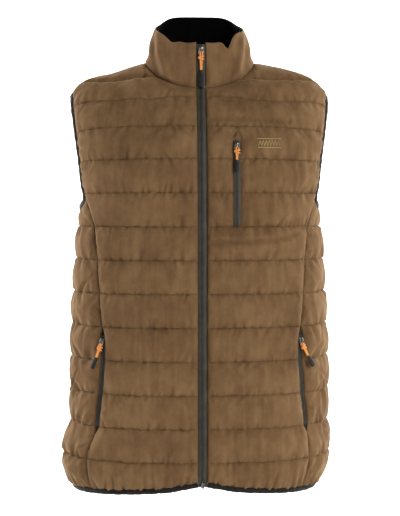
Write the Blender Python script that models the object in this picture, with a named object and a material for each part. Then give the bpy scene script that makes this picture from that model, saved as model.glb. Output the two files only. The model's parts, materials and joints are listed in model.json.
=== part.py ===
"""A quilted insulated vest, filled out as it is worn but with nobody in it.

Lengths below are in millimetres and the meshes are in metres. +Z is up, the front faces -Y and +X
is the wearer's left. The origin is the point between the shoulders that carries the vest, level
with the shoulder seams beside the neck.

The inner face of the body is one surface, skin_point(row, angle). A row counts quilting channels
upward from the hem, and an angle goes round from the centre front to the centre back. Each panel
is a patch of that surface: a plain inner face, and an outer face raised between the quilting lines.
"""

import math

import bmesh
import bpy
import numpy as np
from mathutils import Matrix

MM = 0.001

# Cloth walls and the clearances between sewn pieces
WALL = 3.0
PUFF = 7.5
SEAM_GAP = 0.3
SEAM_PINCH = 20.0
NECK_FLAT = 6.0
SUB_ROWS = 4

# Quilting: lines are a pitch apart, measured along the cloth
QUILT_PITCH = 52.9
LOWEST_LINE = -635.0
LINES_BELOW_ARM = 8
ARM_HEIGHT = LOWEST_LINE + (LINES_BELOW_ARM - 1) * QUILT_PITCH
LINES_ABOVE_ARM = 5
ARM_ROW = LINES_BELOW_ARM
TOP_ROW = LINES_BELOW_ARM + LINES_ABOVE_ARM + 1
NECK_ROW = TOP_ROW - 2
SIDE_TOP_ROW = ARM_ROW + 1
SIDE_TOP_DIP = 0.55

# Body sections, each a rounded oval: height, half width, depth in front and depth behind
BODY = (
    # height, half width, front, back
    (-690.0, 197.0, 127.0, 112.0),
    (-640.0, 205.0, 132.0, 116.0),
    (-530.0, 206.0, 132.0, 113.0),
    (-460.0, 204.0, 130.0, 110.0),
    (-390.0, 202.0, 128.0, 107.0),
    (-320.0, 197.0, 127.0, 107.0),
    (-265.0, 193.0, 127.0, 110.0),
    (-212.0, 195.0, 127.0, 112.0),
    (-162.0, 200.0, 127.0, 112.0),
    (-112.0, 206.0, 127.0, 112.0),
    (-64.0, 212.0, 127.0, 112.0),
    (0.0, 217.0, 127.0, 112.0),
)
OVAL_POWER = 2.5

# Hem edge heights
HEM_FRONT = -674.0
HEM_SIDE_DROP = 16.0
HEM_BACK_DROP = 2.0
HEM_CURVE = 0.6

# Shoulders and neckline
NECK_HALF = 88.0
TIP_HALF = 208.0
SHOULDER_SLOPE = 0.23
SHOULDER_ROUND = 24.0
SHOULDER_ROUND_POWER = 6.0
NECK_DROP_FRONT = 46.0
NECK_RISE_BACK = 8.0
NECK_CURVE = 0.55
BACK_CROWN = 34.0
FRONT_PROFILE_POWER = 2.0
TIP_PROFILE_POWER = 2.9
BACK_PROFILE_POWER = 2.6
LINE_FALL_POWER = 1.4

# Upper quilting rows: how far each line falls at the armhole, and where the armhole cuts it
ARMHOLE = (
    # row, fall of the line, half width in front, half width behind
    (9.0, 0.0, 184.5, 185.5),
    (9.25, 0.0, 188.0, 189.0),
    (10.0, 3.0, 192.0, 194.0),
    (11.0, 9.0, 198.5, 200.5),
    (12.0, 17.0, 204.0, 205.0),
    (13.0, 33.0, 207.0, 207.5),
    (14.0, 0.0, 208.0, 208.0),
)

# Side seams: half widths where the front and the back meet the side panels
SIDE_SEAM = (
    # row, front seam, back seam
    (0.0, 168.0, 166.0),
    (1.0, 171.0, 168.0),
    (2.0, 165.0, 168.0),
    (3.0, 159.0, 167.0),
    (4.0, 155.0, 166.0),
    (5.0, 156.0, 165.0),
    (6.0, 160.0, 165.0),
    (7.0, 162.0, 166.0),
    (8.0, 167.0, 169.0),
    (8.5, 174.5, 176.0),
    (9.0, 184.5, 185.5),
)

# Panel columns: distances from the centre on the chest, and where they reach the neck seam
ZIP_EDGE = 7.6
FRONT_LEFT_COLUMNS = (
    # on the chest, at the neck seam
    (ZIP_EDGE, ZIP_EDGE),
    (22.0, 22.0),
    (36.0, 36.0),
    (48.0, 48.0),
    (54.0, 54.0),
    (60.0, 60.0),
    (72.0, 70.0),
    (85.0, 80.0),
    (98.0, 85.5),
    (111.0, 87.6),
    (124.0, NECK_HALF),
)
FRONT_RIGHT_COLUMNS = (
    # on the chest, at the neck seam
    (ZIP_EDGE, ZIP_EDGE),
    (25.0, 26.0),
    (43.0, 44.0),
    (60.0, 60.0),
    (76.0, 73.0),
    (91.0, 82.0),
    (104.0, 86.3),
    (116.0, 87.7),
    (128.0, NECK_HALF),
)
BACK_COLUMNS = (
    # on the back, at the neck seam
    (0.0, 0.0),
    (22.0, 22.0),
    (44.0, 43.0),
    (66.0, 61.0),
    (86.0, 75.0),
    (104.0, 84.0),
    (121.0, NECK_HALF),
)
FAN_ROW = 11.0
OUTER_COLUMNS = 3
SIDE_COLUMNS = 12
GATHER_DEPTH = 1.3

# Stand collar
COLLAR_WALL = 3.6
COLLAR_TOP_HALF = 69.0
COLLAR_TOP_FRONT = 68.0
COLLAR_TOP_BACK = 60.0
COLLAR_FRONT_HEIGHT = 29.0
COLLAR_BACK_RISE = 60.0
COLLAR_RISE_POWER = 0.8
COLLAR_OVAL_POWER = 2.8
COLLAR_ROWS = (0.0, 0.13, 0.32, 0.52, 0.72, 0.88, 1.0)
COLLAR_FOLDS = (
    # degrees round at the foot, degrees at the top, height of the fold, width in degrees
    (34.0, 52.0, 3.0, 7.0),
    (50.0, 68.0, -2.0, 8.0),
    (72.0, 78.0, 2.0, 8.0),
    (128.0, 122.0, 1.6, 10.0),
)
LINING_THICKNESS = 1.2
LINING_ROWS = (0.04, 0.13, 0.32, 0.52, 0.72, 0.88, 0.96)
LINING_GAP = 0.9

# Edge bindings
BINDING_WIDTH = 5.5
HEM_BINDING_WIDTH = 6.5
BINDING_INSIDE = 0.8
BINDING_OUTSIDE = 4.0
BINDING_TAPER = 1.4

# Zips
ZIP_HALF = 7.3
ZIP_LOW = 0.6
ZIP_TAPE_TOP = 2.2
ZIP_COIL_TOP = 3.0
ZIP_COIL_HALF = 1.6
POCKET_ZIP_HALF = 4.5
POCKET_SLOT_HALF = 4.9
POCKET_ZIP_ROWS = (2.0, 4.75)
CHEST_ZIP_X = 54.0
CHEST_ZIP_HALF = 5.6
CHEST_ZIP_ROWS = (8.0, 11.0)
CHEST_ZIP_CLEAR = 6.0
CHEST_ZIP_PINCH = 14.0
CHEST_ZIP_LOW = 0.4
CHEST_ZIP_TOP = 1.7
CHEST_ZIP_CROWN = 0.5
ZIP_BOX_HEIGHT = 11.0

# Slider and the parts of its pull, along the zip from the pivot of the pull
SLIDER_HALF = 4.0
SLIDER_BELOW = 6.0
SLIDER_ABOVE = 3.2
SLIDER_PLATE = 2.0
PIVOT_HEIGHT = 3.1
BRIDGE_HALF = 1.6
BRIDGE_TOP = 5.4
BRIDGE_UNDER = 4.2
BRIDGE_BELOW = 3.0
RING_HALF = 2.9
RING_LENGTH = 9.5
RING_WIRE = 0.75
CORD_WIRE = 0.8
CORD_TURN = 1.9
TAB_THICKNESS = 3.0

# Where the sliders stand, and their pulls: cord length, grip length and grip width
MAIN_SLIDER_BELOW_TOP = 9.0
CHEST_SLIDER_BELOW_TOP = 0.57
POCKET_SLIDER_BELOW_TOP = 0.15
MAIN_PULL_SIZES = (24.0, 27.0, 8.6)
CHEST_PULL_SIZES = (16.0, 19.5, 7.0)
POCKET_PULL_SIZES = (18.0, 19.0, 7.0)
POCKET_PULL_LIFT = 12.0


def surface(name, red, green, blue, roughness, metallic=0.0):
    """Returns a new material with one colour."""
    made = bpy.data.materials.new(name)
    made.use_nodes = True
    shader = made.node_tree.nodes["Principled BSDF"]
    shader.inputs["Base Color"].default_value = (red, green, blue, 1.0)
    shader.inputs["Roughness"].default_value = roughness
    shader.inputs["Metallic"].default_value = metallic
    return made


def column(table, key, place):
    """Reads a table's column at a key, in straight steps between its rows."""
    keys = [row[0] for row in table]
    return float(np.interp(key, keys, [row[place] for row in table]))


def unit(vector):
    """A direction of length one."""
    return vector / np.linalg.norm(vector)


def upper_line_heights():
    """Heights of the quilting lines above the arm level, a pitch apart up the curved chest."""
    rise, depth = -ARM_HEIGHT, column(BODY, ARM_HEIGHT, 2)
    tilts = np.linspace(0.0, math.pi / 2, 2001)
    heights, depths = rise * np.sin(tilts), depth * np.cos(tilts)
    steps = np.hypot(np.diff(heights), np.diff(depths))
    run = np.concatenate([[0.0], np.cumsum(steps)])
    marks = QUILT_PITCH * np.arange(1, LINES_ABOVE_ARM + 1)
    return [ARM_HEIGHT + float(np.interp(mark, run, heights)) for mark in marks]


LINE_HEIGHTS = (
    [HEM_FRONT + HEM_BINDING_WIDTH]
    + [LOWEST_LINE + QUILT_PITCH * line for line in range(LINES_BELOW_ARM)]
    + upper_line_heights()
    + [0.0]
)


def row_height(row):
    """Height of a row at the front, before lines fall towards the armhole."""
    return float(np.interp(row, range(len(LINE_HEIGHTS)), LINE_HEIGHTS))


def shoulder_height(across):
    """Height of the shoulder seam at a distance from the centre."""
    past = max(across - NECK_HALF, 0.0)
    share = past / (TIP_HALF - NECK_HALF)
    return -SHOULDER_SLOPE * past - SHOULDER_ROUND * share**SHOULDER_ROUND_POWER


def crest_height(across, behind):
    """Height where the chest or the back would close over the shoulder."""
    inside = max(1.0 - (across / NECK_HALF) ** 2, 0.0)
    return shoulder_height(across) + (BACK_CROWN * inside if behind else 0.0)


def neckline_height(across, behind):
    """Height of the neck seam, inside the neck points."""
    inside = max(1.0 - (across / NECK_HALF) ** 2, 0.0) ** NECK_CURVE
    return NECK_RISE_BACK * inside if behind else -NECK_DROP_FRONT * inside


def profile_power(across, behind):
    """Fullness of the curved profile: round over the chest, squarer towards the armhole."""
    share = min(max((across - NECK_HALF) / (TIP_HALF - NECK_HALF), 0.0), 1.0) ** 2
    middle = BACK_PROFILE_POWER if behind else FRONT_PROFILE_POWER
    return middle + (TIP_PROFILE_POWER - middle) * share


def tilt_of_height(height, across, behind):
    """Angle up the curved profile at which a height lies, from 0 at the arm level."""
    power = profile_power(across, behind)
    share = (height - ARM_HEIGHT) / (crest_height(across, behind) - ARM_HEIGHT)
    return math.asin(min(max(share, 0.0), 1.0) ** (power / 2))


def line_tilt(line, across, behind):
    """Angle up the profile of one whole row at a distance from the centre."""
    if line >= TOP_ROW:
        if across >= NECK_HALF:
            return math.pi / 2
        return tilt_of_height(neckline_height(across, behind), across, behind)
    if line > NECK_ROW and across < NECK_HALF and not behind:
        low = line_tilt(NECK_ROW, across, behind)
        low_at_neck = line_tilt(NECK_ROW, NECK_HALF, behind)
        share = (line_tilt(line, NECK_HALF, behind) - low_at_neck) / (math.pi / 2 - low_at_neck)
        return low + share * (line_tilt(TOP_ROW, across, behind) - low)
    fallen = shoulder_height(across) / shoulder_height(TIP_HALF)
    drop = column(ARMHOLE, line, 1) * fallen**LINE_FALL_POWER
    return tilt_of_height(LINE_HEIGHTS[line] - drop, across, behind)


def hem_height(angle):
    """Height of the cloth's lower edge at an angle round the body."""
    side = math.sin(angle) ** HEM_CURVE if angle < math.pi / 2 else 1.0
    back = max(-math.cos(angle), 0.0)
    edge = HEM_FRONT - HEM_SIDE_DROP * side - HEM_BACK_DROP * back
    return edge + HEM_BINDING_WIDTH + SEAM_GAP


def skin_point(row, angle):
    """A point of the body's inner face, on the wearer's left."""
    height = row_height(row)
    half, front, back = (column(BODY, height, place) for place in (1, 2, 3))
    behind = angle > math.pi / 2
    across = half * abs(math.sin(angle)) ** (2 / OVAL_POWER)
    depth = abs(math.cos(angle)) ** (2 / OVAL_POWER) * (back if behind else -front)
    if row < 1.0:
        height = hem_height(angle) + row * (LOWEST_LINE - hem_height(angle))
    if row <= ARM_ROW:
        return np.array((across, depth, height))
    line = min(int(row), TOP_ROW - 1)
    low = line_tilt(line, across, behind)
    tilt = low + (row - line) * (line_tilt(line + 1, across, behind) - low)
    power = profile_power(across, behind)
    rise = crest_height(across, behind) - ARM_HEIGHT
    height = ARM_HEIGHT + rise * math.sin(tilt) ** (2 / power)
    return np.array((across, depth * max(math.cos(tilt), 0.0) ** (2 / power), height))


def angle_at(across, row, behind):
    """Angle round the body at which a row reaches a distance from the centre."""
    half = column(BODY, row_height(row), 1)
    angle = math.asin(min(across / half, 1.0) ** (OVAL_POWER / 2))
    return math.pi - angle if behind else angle


def skin_slopes(row, angle):
    """Unit steps across and up the skin, and its normal, at one place."""
    row_step, angle_step = 0.02, 0.004
    low, high = max(row - row_step, 0.0), min(row + row_step, float(TOP_ROW))
    left, right = max(angle - angle_step, 0.0), min(angle + angle_step, math.pi)
    across = skin_point(row, right) - skin_point(row, left)
    up = skin_point(high, angle) - skin_point(low, angle)
    across, up = across / np.linalg.norm(across), up / np.linalg.norm(up)
    normal = np.cross(across, up)
    return across, up, normal / np.linalg.norm(normal)


def pocket_slot(row):
    """Half the distance between the front and the side panel, wide at the pocket zip."""
    low, high = POCKET_ZIP_ROWS
    step = 1 / SUB_ROWS
    keys = (low - step, low, high, high + step)
    widths = (SEAM_GAP / 2, POCKET_SLOT_HALF, POCKET_SLOT_HALF, SEAM_GAP / 2)
    return float(np.interp(row, keys, widths))


def seam_angle(row, behind):
    """Angle round the body of a side seam, or of the armhole above it."""
    if row <= SIDE_TOP_ROW:
        across = column(SIDE_SEAM, row, 2 if behind else 1)
    else:
        across = column(ARMHOLE, row, 3 if behind else 2)
    return angle_at(across, row, behind)


def shifted_angle(row, angle, distance):
    """An angle moved along a row by a distance on the cloth."""
    step = 0.002
    run = np.linalg.norm(skin_point(row, angle + step) - skin_point(row, angle - step))
    return angle + distance * 2 * step / run


def channel_puff(row):
    """Height of the filling over one quilting channel, from 0 on a line to 1."""
    share = min(max(row - math.floor(row), 0.0), 1.0)
    return math.sin(math.pi * share) ** 0.75


def seam_pinch(distance, reach=SEAM_PINCH):
    """How far the filling is pressed flat beside a seam, from 0 on it to 1."""
    return min(max(distance / reach, 0.0), 1.0) ** 0.6


def chest_zip_pinch(row, across):
    """The filling beside the chest pocket's zip."""
    low, high = CHEST_ZIP_ROWS
    if not low - 0.1 < row < high + 0.1:
        return 1.0
    return seam_pinch(abs(across - CHEST_ZIP_X) - CHEST_ZIP_CLEAR, CHEST_ZIP_PINCH)


def gather(row, place):
    """Puckers drawn up beside a side panel's quilting lines, in turn out and in."""
    channel = math.floor(row)
    size = 0.6 + 0.4 * math.sin(12.9 * channel + 4.1 * place)
    return GATHER_DEPTH * size * (1 if (place + channel) % 2 else -1)


def patch(rows, angles_of, relief_of):
    """Points of a panel: its plain inner grid and its raised outer grid."""
    inner, outer = [], []
    for row in rows:
        angles = angles_of(row)
        points = [skin_point(row, angle) for angle in angles]
        normals = [skin_slopes(row, angle)[2] for angle in angles]
        reliefs = relief_of(row, points)
        inner.append(points)
        outer.append(
            [
                point + normal * (WALL + relief)
                for point, normal, relief in zip(points, normals, reliefs)
            ]
        )
    return np.array(inner), np.array(outer)


def row_list(low, high):
    """Rows from low to high, a few to each quilting channel."""
    count = round((high - low) * SUB_ROWS)
    return [low + (high - low) * step / count for step in range(count + 1)]


def distances_from(points, index):
    """Distances along a row of points, from the one at an index."""
    steps = [float(np.linalg.norm(b - a)) for a, b in zip(points, points[1:])]
    run = np.concatenate([[0.0], np.cumsum(steps)])
    return np.abs(run - run[index])


def neck_seam(behind, count=40):
    """Points along half of the neck seam, from the centre to the neck point."""
    steps = (NECK_HALF * math.sin(math.pi / 2 * step / count) for step in range(count + 1))
    return np.array([skin_point(TOP_ROW, angle_at(across, TOP_ROW, behind)) for across in steps])


def neck_pinch(points, behind):
    """How far the filling is pressed flat beside the neck seam, for each point of a row."""
    seam = neck_seam(behind)
    distances = [np.linalg.norm(seam - point, axis=1).min() for point in points]
    return [seam_pinch(distance - NECK_FLAT) for distance in distances]


def column_angles(row, columns, edge, behind):
    """Angles of a panel's columns along a row, from the centre to its outer edge."""
    fan = min(max((row - FAN_ROW) / (TOP_ROW - FAN_ROW), 0.0), 1.0)
    angles = [angle_at(low + (high - low) * fan, row, behind) for low, high in columns]
    step = (edge - angles[-1]) / OUTER_COLUMNS
    return angles + [angles[-1] + step * (count + 1) for count in range(OUTER_COLUMNS)]


def front_panel(columns, chest_pocket):
    """Grids of one front, as the wearer's left one."""

    def angles_of(row):
        edge = seam_angle(row, False)
        if row <= SIDE_TOP_ROW:
            edge = shifted_angle(row, edge, -pocket_slot(row))
        return column_angles(row, columns, edge, False)

    def relief_of(row, points):
        from_zip = distances_from(points, 0)
        from_edge = distances_from(points, len(points) - 1)
        reliefs = []
        necks = neck_pinch(points, False)
        for point, zip_side, edge_side, neck in zip(points, from_zip, from_edge, necks):
            lift = PUFF * channel_puff(row) * seam_pinch(min(zip_side, edge_side)) * neck
            if chest_pocket:
                lift *= chest_zip_pinch(row, point[0])
            reliefs.append(lift)
        return reliefs

    inner, outer = patch(row_list(0, TOP_ROW), angles_of, relief_of)
    for grid in (inner, outer):
        grid[-1][inner[-1][:, 0] > NECK_HALF - 0.01, 1] -= SEAM_GAP / 2
    return inner, outer


def side_panel():
    """Grids of one side panel, as the wearer's left one."""

    def angles_of(row):
        front = shifted_angle(row, seam_angle(row, False), pocket_slot(row))
        back = shifted_angle(row, seam_angle(row, True), -SEAM_GAP / 2)
        return [front + (back - front) * place / SIDE_COLUMNS for place in range(SIDE_COLUMNS + 1)]

    def relief_of(row, points):
        from_front = distances_from(points, 0)
        from_back = distances_from(points, len(points) - 1)
        reliefs = []
        for place, (front_side, back_side) in enumerate(zip(from_front, from_back)):
            pinch = seam_pinch(min(front_side, back_side)) * channel_puff(row)
            if row >= SIDE_TOP_ROW:
                pinch = 0.0
            reliefs.append(pinch * (PUFF + gather(row, place)))
        return reliefs

    inner, outer = patch(row_list(0, SIDE_TOP_ROW), angles_of, relief_of)
    for place in range(1, SIDE_COLUMNS):
        dip = SIDE_TOP_DIP * math.sin(math.pi * place / SIDE_COLUMNS) ** 0.7
        shorten_upper_channel(inner[:, place], outer[:, place], dip)
    return inner, outer


def shorten_upper_channel(inner, outer, dip):
    """Lowers the top of one column of a side panel by a share of its upper channel's height."""
    low = ARM_ROW * SUB_ROWS
    walls = outer[low:] - inner[low:]
    points = inner[low:].copy()
    for step in range(1, len(points)):
        mark = step * (1 - dip)
        before = int(mark)
        point = points[before] + (points[before + 1] - points[before]) * (mark - before)
        inner[low + step] = point
        outer[low + step] = point + walls[step]


def back_panel():
    """Grids of the back, from the wearer's left side to the right."""

    def angles_of(row):
        edge = seam_angle(row, True)
        if row <= SIDE_TOP_ROW:
            edge = shifted_angle(row, edge, SEAM_GAP / 2)
        return column_angles(row, BACK_COLUMNS, edge, True)

    def relief_of(row, points):
        from_edge = distances_from(points, len(points) - 1)
        necks = neck_pinch(points, True)
        puff = PUFF * channel_puff(row)
        return [puff * seam_pinch(side) * neck for side, neck in zip(from_edge, necks)]

    inner, outer = patch(row_list(0, TOP_ROW), angles_of, relief_of)
    for grid in (inner, outer):
        grid[-1][inner[-1][:, 0] > NECK_HALF - 0.01, 1] += SEAM_GAP / 2
    halves = []
    for grid in (inner, outer):
        other = grid[:, :0:-1].copy()
        other[:, :, 0] *= -1
        halves.append(np.concatenate([other, grid], axis=1))
    return halves[0], halves[1]


def mirrored(grid):
    """A grid on the wearer's other side."""
    other = grid.copy()
    other[..., 0] *= -1
    return other


def new_object(name, points, faces, material, smooth=True):
    """Makes a closed object from points in millimetres, with its faces turned outward."""
    mesh = bpy.data.meshes.new(name)
    shape = bmesh.new()
    corners = [shape.verts.new(np.asarray(point, float) * MM) for point in points]
    for face in faces:
        shape.faces.new([corners[index] for index in face])
    bmesh.ops.recalc_face_normals(shape, faces=shape.faces)
    shape.to_mesh(mesh)
    shape.free()
    if smooth:
        mesh.shade_smooth()
        mesh.set_sharp_from_angle(angle=math.radians(50))
    made = bpy.data.objects.new(name, mesh)
    made.data.materials.append(material)
    bpy.context.scene.collection.objects.link(made)
    return made


def every(count, step):
    """Indices from 0 to count - 1 in steps, with both ends."""
    return sorted(set(list(range(0, count, step)) + [count - 1]))


def grid_faces(table):
    """Four-sided faces over a table of point indices."""
    return [
        (table[i][j], table[i][j + 1], table[i + 1][j + 1], table[i + 1][j])
        for i in range(len(table) - 1)
        for j in range(len(table[0]) - 1)
    ]


def side_walk(start, end, fixed, along_rows, on_edge):
    """Grid places from start up to end, with every place between them where the side is an edge."""
    step = 1 if end > start else -1
    places = range(start, end, step) if on_edge else (start,)
    return [(place, fixed) if along_rows else (fixed, place) for place in places]


def inner_cells(rows, columns, row_marks, column_marks):
    """Faces of a coarse plain grid, as grid places, that keep every point of its outer edge."""
    cells = []
    for low, high in zip(row_marks, row_marks[1:]):
        for left, right in zip(column_marks, column_marks[1:]):
            cell = side_walk(left, right, low, False, low == 0)
            cell += side_walk(low, high, right, True, right == columns - 1)
            cell += side_walk(right, left, high, False, high == rows - 1)
            cell += side_walk(high, low, left, True, left == 0)
            cells.append(cell)
    return cells


def edge_walk(rows, columns):
    """Grid places once round the edge of a grid."""
    walk = [(0, place) for place in range(columns - 1)]
    walk += [(place, columns - 1) for place in range(rows - 1)]
    walk += [(rows - 1, place) for place in range(columns - 1, 0, -1)]
    return walk + [(place, 0) for place in range(rows - 1, 0, -1)]


def wall(name, inner, outer, material, row_step=2, column_step=2):
    """A cloth wall between a raised outer grid and a coarser plain inner grid."""
    rows, columns = outer.shape[:2]
    points = list(outer.reshape(-1, 3))
    faces = grid_faces(np.arange(rows * columns).reshape(rows, columns).tolist())
    cells = inner_cells(rows, columns, every(rows, row_step), every(columns, column_step))
    inner_index = {}
    for cell in cells:
        for place in cell:
            if place not in inner_index:
                inner_index[place] = len(points)
                points.append(inner[place])
        faces.append(tuple(inner_index[place] for place in cell))
    walk = edge_walk(rows, columns)
    for here, after in zip(walk, walk[1:] + walk[:1]):
        near, far = here[0] * columns + here[1], after[0] * columns + after[1]
        faces.append((near, far, inner_index[after], inner_index[here]))
    return new_object(name, points, faces, material)


def swept(name, stations, closed, material):
    """A solid through a list of cross-sections, each a closed list of points."""
    sides = len(stations[0])
    points = [point for station in stations for point in station]
    count = len(stations)
    faces = []
    for step in range(count if closed else count - 1):
        near, far = step * sides, (step + 1) % count * sides
        for side in range(sides):
            other = (side + 1) % sides
            faces.append((near + side, near + other, far + other, far + side))
    if not closed:
        faces.append(tuple(range(sides)))
        faces.append(tuple(range((count - 1) * sides, count * sides)))
    return new_object(name, points, faces, material)


def edge_frames(points, normals, closed, towards):
    """Mitred directions that lead off an edge, square to it and in the cloth's plane."""
    count = len(points)
    steps = count if closed else count - 1
    square = []
    for index in range(steps):
        along = points[(index + 1) % count] - points[index]
        away = unit(np.cross(along, normals[index] + normals[(index + 1) % count]))
        towards_here = towards[index] + towards[(index + 1) % count]
        square.append(away if np.dot(away, towards_here) > 0 else -away)
    frames = []
    for index in range(count):
        before = square[index - 1] if closed or index else square[0]
        after = square[index] if index < steps else square[-1]
        frames.append((before + after) / (1.0 + np.dot(before, after)))
    return frames


def binding(name, points, normals, closed, towards, width, material):
    """A folded strip that closes an edge, just past the cloth and a little thicker."""
    profile = (
        (SEAM_GAP, -BINDING_INSIDE),
        (width - BINDING_TAPER, -BINDING_INSIDE),
        (width, (BINDING_OUTSIDE - BINDING_INSIDE) / 2),
        (width - BINDING_TAPER, BINDING_OUTSIDE),
        (SEAM_GAP, BINDING_OUTSIDE),
    )
    frames = edge_frames(points, normals, closed, towards)
    stations = [
        [point + away * out + normal * up for out, up in profile]
        for point, normal, away in zip(points, normals, frames)
    ]
    return swept(name, stations, closed, material)


def wall_normals(inner_line, outer_line):
    """Directions from the inner to the outer points of a panel's edge."""
    return [unit(outer - inner) for inner, outer in zip(inner_line, outer_line)]


def armhole_loop(front, side, back):
    """Points, normals and ways off the cloth round one armhole, from the front seam and up."""
    start = round(SIDE_TOP_ROW * SUB_ROWS)
    edges = (
        [(grid[start:, -1], grid[start:, -2]) for grid in front],
        [(grid[start:, -1][::-1], grid[start:, -2][::-1]) for grid in back],
        [(grid[-1], grid[-2]) for grid in side],
    )
    edges = (edges[0], edges[1], [(line[::-1], beside[::-1]) for line, beside in edges[2]])
    points, normals, ways = [], [], []
    for place, (inner, outer) in enumerate(edges):
        before = edges[place - 1][0][0][-1]
        points += [(inner[0][0] + before) / 2] + list(inner[0][1:-1])
        normals += wall_normals(inner[0][:-1], outer[0][:-1])
        ways += list(inner[0][:-1] - inner[1][:-1])
    return points, normals, ways


def hem_line(front, side, back_half, front_right):
    """Points and normals along the hem, from the left of the zip round to its right."""

    def half(front_grids):
        pairs = [(front_grids[0][0], front_grids[1][0])]
        pairs += [(side[0][0], side[1][0]), (back_half[0][0], back_half[1][0])]
        inner, normals = [], []
        for lower, upper in pairs:
            directions = wall_normals(lower, upper)
            points = list(lower)
            if inner:
                inner[-1] = (inner[-1] + points[0]) / 2
                points, directions = points[1:], directions[1:]
            inner += points
            normals += directions
        return inner, normals

    left, left_normals = half(front)
    right, right_normals = half(front_right)
    flip = np.array((-1.0, 1.0, 1.0))
    points = left + [point * flip for point in reversed(right[:-1])]
    normals = left_normals + [normal * flip for normal in reversed(right_normals[:-1])]
    return points, normals


def collar_angle(across, behind):
    """Angle round the neck at which the neck seam reaches a distance from the centre."""
    angle = math.asin(min(across / NECK_HALF, 1.0))
    return math.pi - angle if behind else angle


def collar_top(angle):
    """A point of the collar's upper inner edge, on the wearer's left."""
    power = 2 / COLLAR_OVAL_POWER
    start = math.sin(collar_angle(ZIP_EDGE, False)) ** power
    share = math.sin(angle) ** power
    if angle < math.pi / 2:
        across = ZIP_EDGE + (COLLAR_TOP_HALF - ZIP_EDGE) * (share - start) / (1 - start)
        depth = -COLLAR_TOP_FRONT * max(math.cos(angle), 0.0) ** power
    else:
        across = COLLAR_TOP_HALF * share
        depth = COLLAR_TOP_BACK * max(-math.cos(angle), 0.0) ** power
    reach = COLLAR_TOP_FRONT + COLLAR_TOP_BACK
    rise = max((depth + COLLAR_TOP_FRONT) / reach, 0.0) ** COLLAR_RISE_POWER
    return np.array((across, depth, COLLAR_FRONT_HEIGHT + COLLAR_BACK_RISE * rise))


def collar_fold(angle, height):
    """How far the collar's soft folds stand out at a place."""
    degrees = math.degrees(angle)
    lift = 0.0
    for foot, top, size, width in COLLAR_FOLDS:
        away = (degrees - foot - (top - foot) * height) / width
        lift += size * math.exp(-away * away) * math.sin(math.pi * (0.15 + 0.75 * height))
    return lift


def collar_grids(front_columns):
    """Grids of half of the collar and of its lining, from the zip round to the centre back."""
    places = [(across, False) for _, across in front_columns]
    places += [(across, True) for _, across in reversed(BACK_COLUMNS[:-1])]
    feet, foot_normals, tops, angles = [], [], [], []
    for across, behind in places:
        angle = angle_at(across, TOP_ROW, behind)
        feet.append(skin_point(TOP_ROW, angle))
        foot_normals.append(skin_slopes(TOP_ROW, angle)[2])
        angles.append(collar_angle(across, behind))
        tops.append(collar_top(angles[-1]))
    neck_middle = np.array((0.0, 0.0, 0.0))
    inner, outer, lining = [], [], []
    rise = [unit(top - foot) for foot, top in zip(feet, tops)]
    off = edge_frames(feet, foot_normals, False, [neck_middle - foot for foot in feet])
    along = [feet[min(i + 1, len(feet) - 1)] - feet[max(i - 1, 0)] for i in range(len(feet))]
    outward = [unit(np.cross(step, up)) for step, up in zip(along, rise)]
    for height, level in zip(COLLAR_ROWS, LINING_ROWS):
        line, skin, inside = [], [], []
        for place, (foot, top) in enumerate(zip(feet, tops)):
            point = foot + (top - foot) * height + off[place] * SEAM_GAP
            fold = collar_fold(angles[place], height)
            seated = foot_normals[place] * WALL + off[place] * SEAM_GAP / 2
            free = outward[place] * (COLLAR_WALL + fold)
            line.append(point)
            skin.append(point + (seated if height == 0.0 else free))
            lined = foot + (top - foot) * level + off[place] * SEAM_GAP
            inside.append(lined - outward[place] * LINING_GAP)
        inner.append(line)
        outer.append(skin)
        lining.append(inside)
    lining = np.array(lining)
    backing = lining - np.array(outward)[None] * LINING_THICKNESS
    return np.array(inner), np.array(outer), backing, lining


def whole_collar(left, right):
    """Joins the two halves of a collar grid at the centre back."""
    return np.concatenate([left, mirrored(right)[:, -2::-1]], axis=1)


def zip_section(point, across, normal, half, coil_half):
    """Cross-section of a closed zip: two flat tapes and the raised coil between them."""
    profile = (
        (-half, ZIP_LOW),
        (-half, ZIP_TAPE_TOP),
        (-coil_half - 0.6, ZIP_TAPE_TOP + 0.1),
        (-coil_half, ZIP_COIL_TOP),
        (coil_half, ZIP_COIL_TOP),
        (coil_half + 0.6, ZIP_TAPE_TOP + 0.1),
        (half, ZIP_TAPE_TOP),
        (half, ZIP_LOW),
    )
    return [point + across * side + normal * up for side, up in profile]


def main_zip_line():
    """Points and normals of the closed front zip, from above its box to the collar's top."""
    points, normals = [], []
    for row in [0.25] + [step / 2 for step in range(1, 2 * TOP_ROW)]:
        angle = angle_at(ZIP_EDGE, row, False)
        points.append(skin_point(row, angle))
        normals.append(skin_slopes(row, angle)[2])
    angle = angle_at(ZIP_EDGE, TOP_ROW, False)
    foot, top = skin_point(TOP_ROW, angle), collar_top(collar_angle(ZIP_EDGE, False))
    outward = unit(np.array((0.0, foot[2] - top[2], top[1] - foot[1])))
    for height in (0.0, 0.25, 0.5, 0.75, 0.97):
        points.append(foot + (top - foot) * height)
        normals.append(outward)
    return [point * (0.0, 1.0, 1.0) for point in points], [
        unit(normal * (0.0, 1.0, 1.0)) for normal in normals
    ]


def frame_on(point, normal, up):
    """A 3 by 3 frame whose columns lead across, along the normal and up."""
    normal = unit(normal)
    up = unit(up - normal * np.dot(up, normal))
    return point, np.column_stack((np.cross(up, normal) * -1, normal, up))


def placed(frame, points):
    """Points given across, out and up of a frame, in the vest's own axes."""
    origin, axes = frame
    return [origin + axes @ np.asarray(point, float) for point in points]


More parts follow.
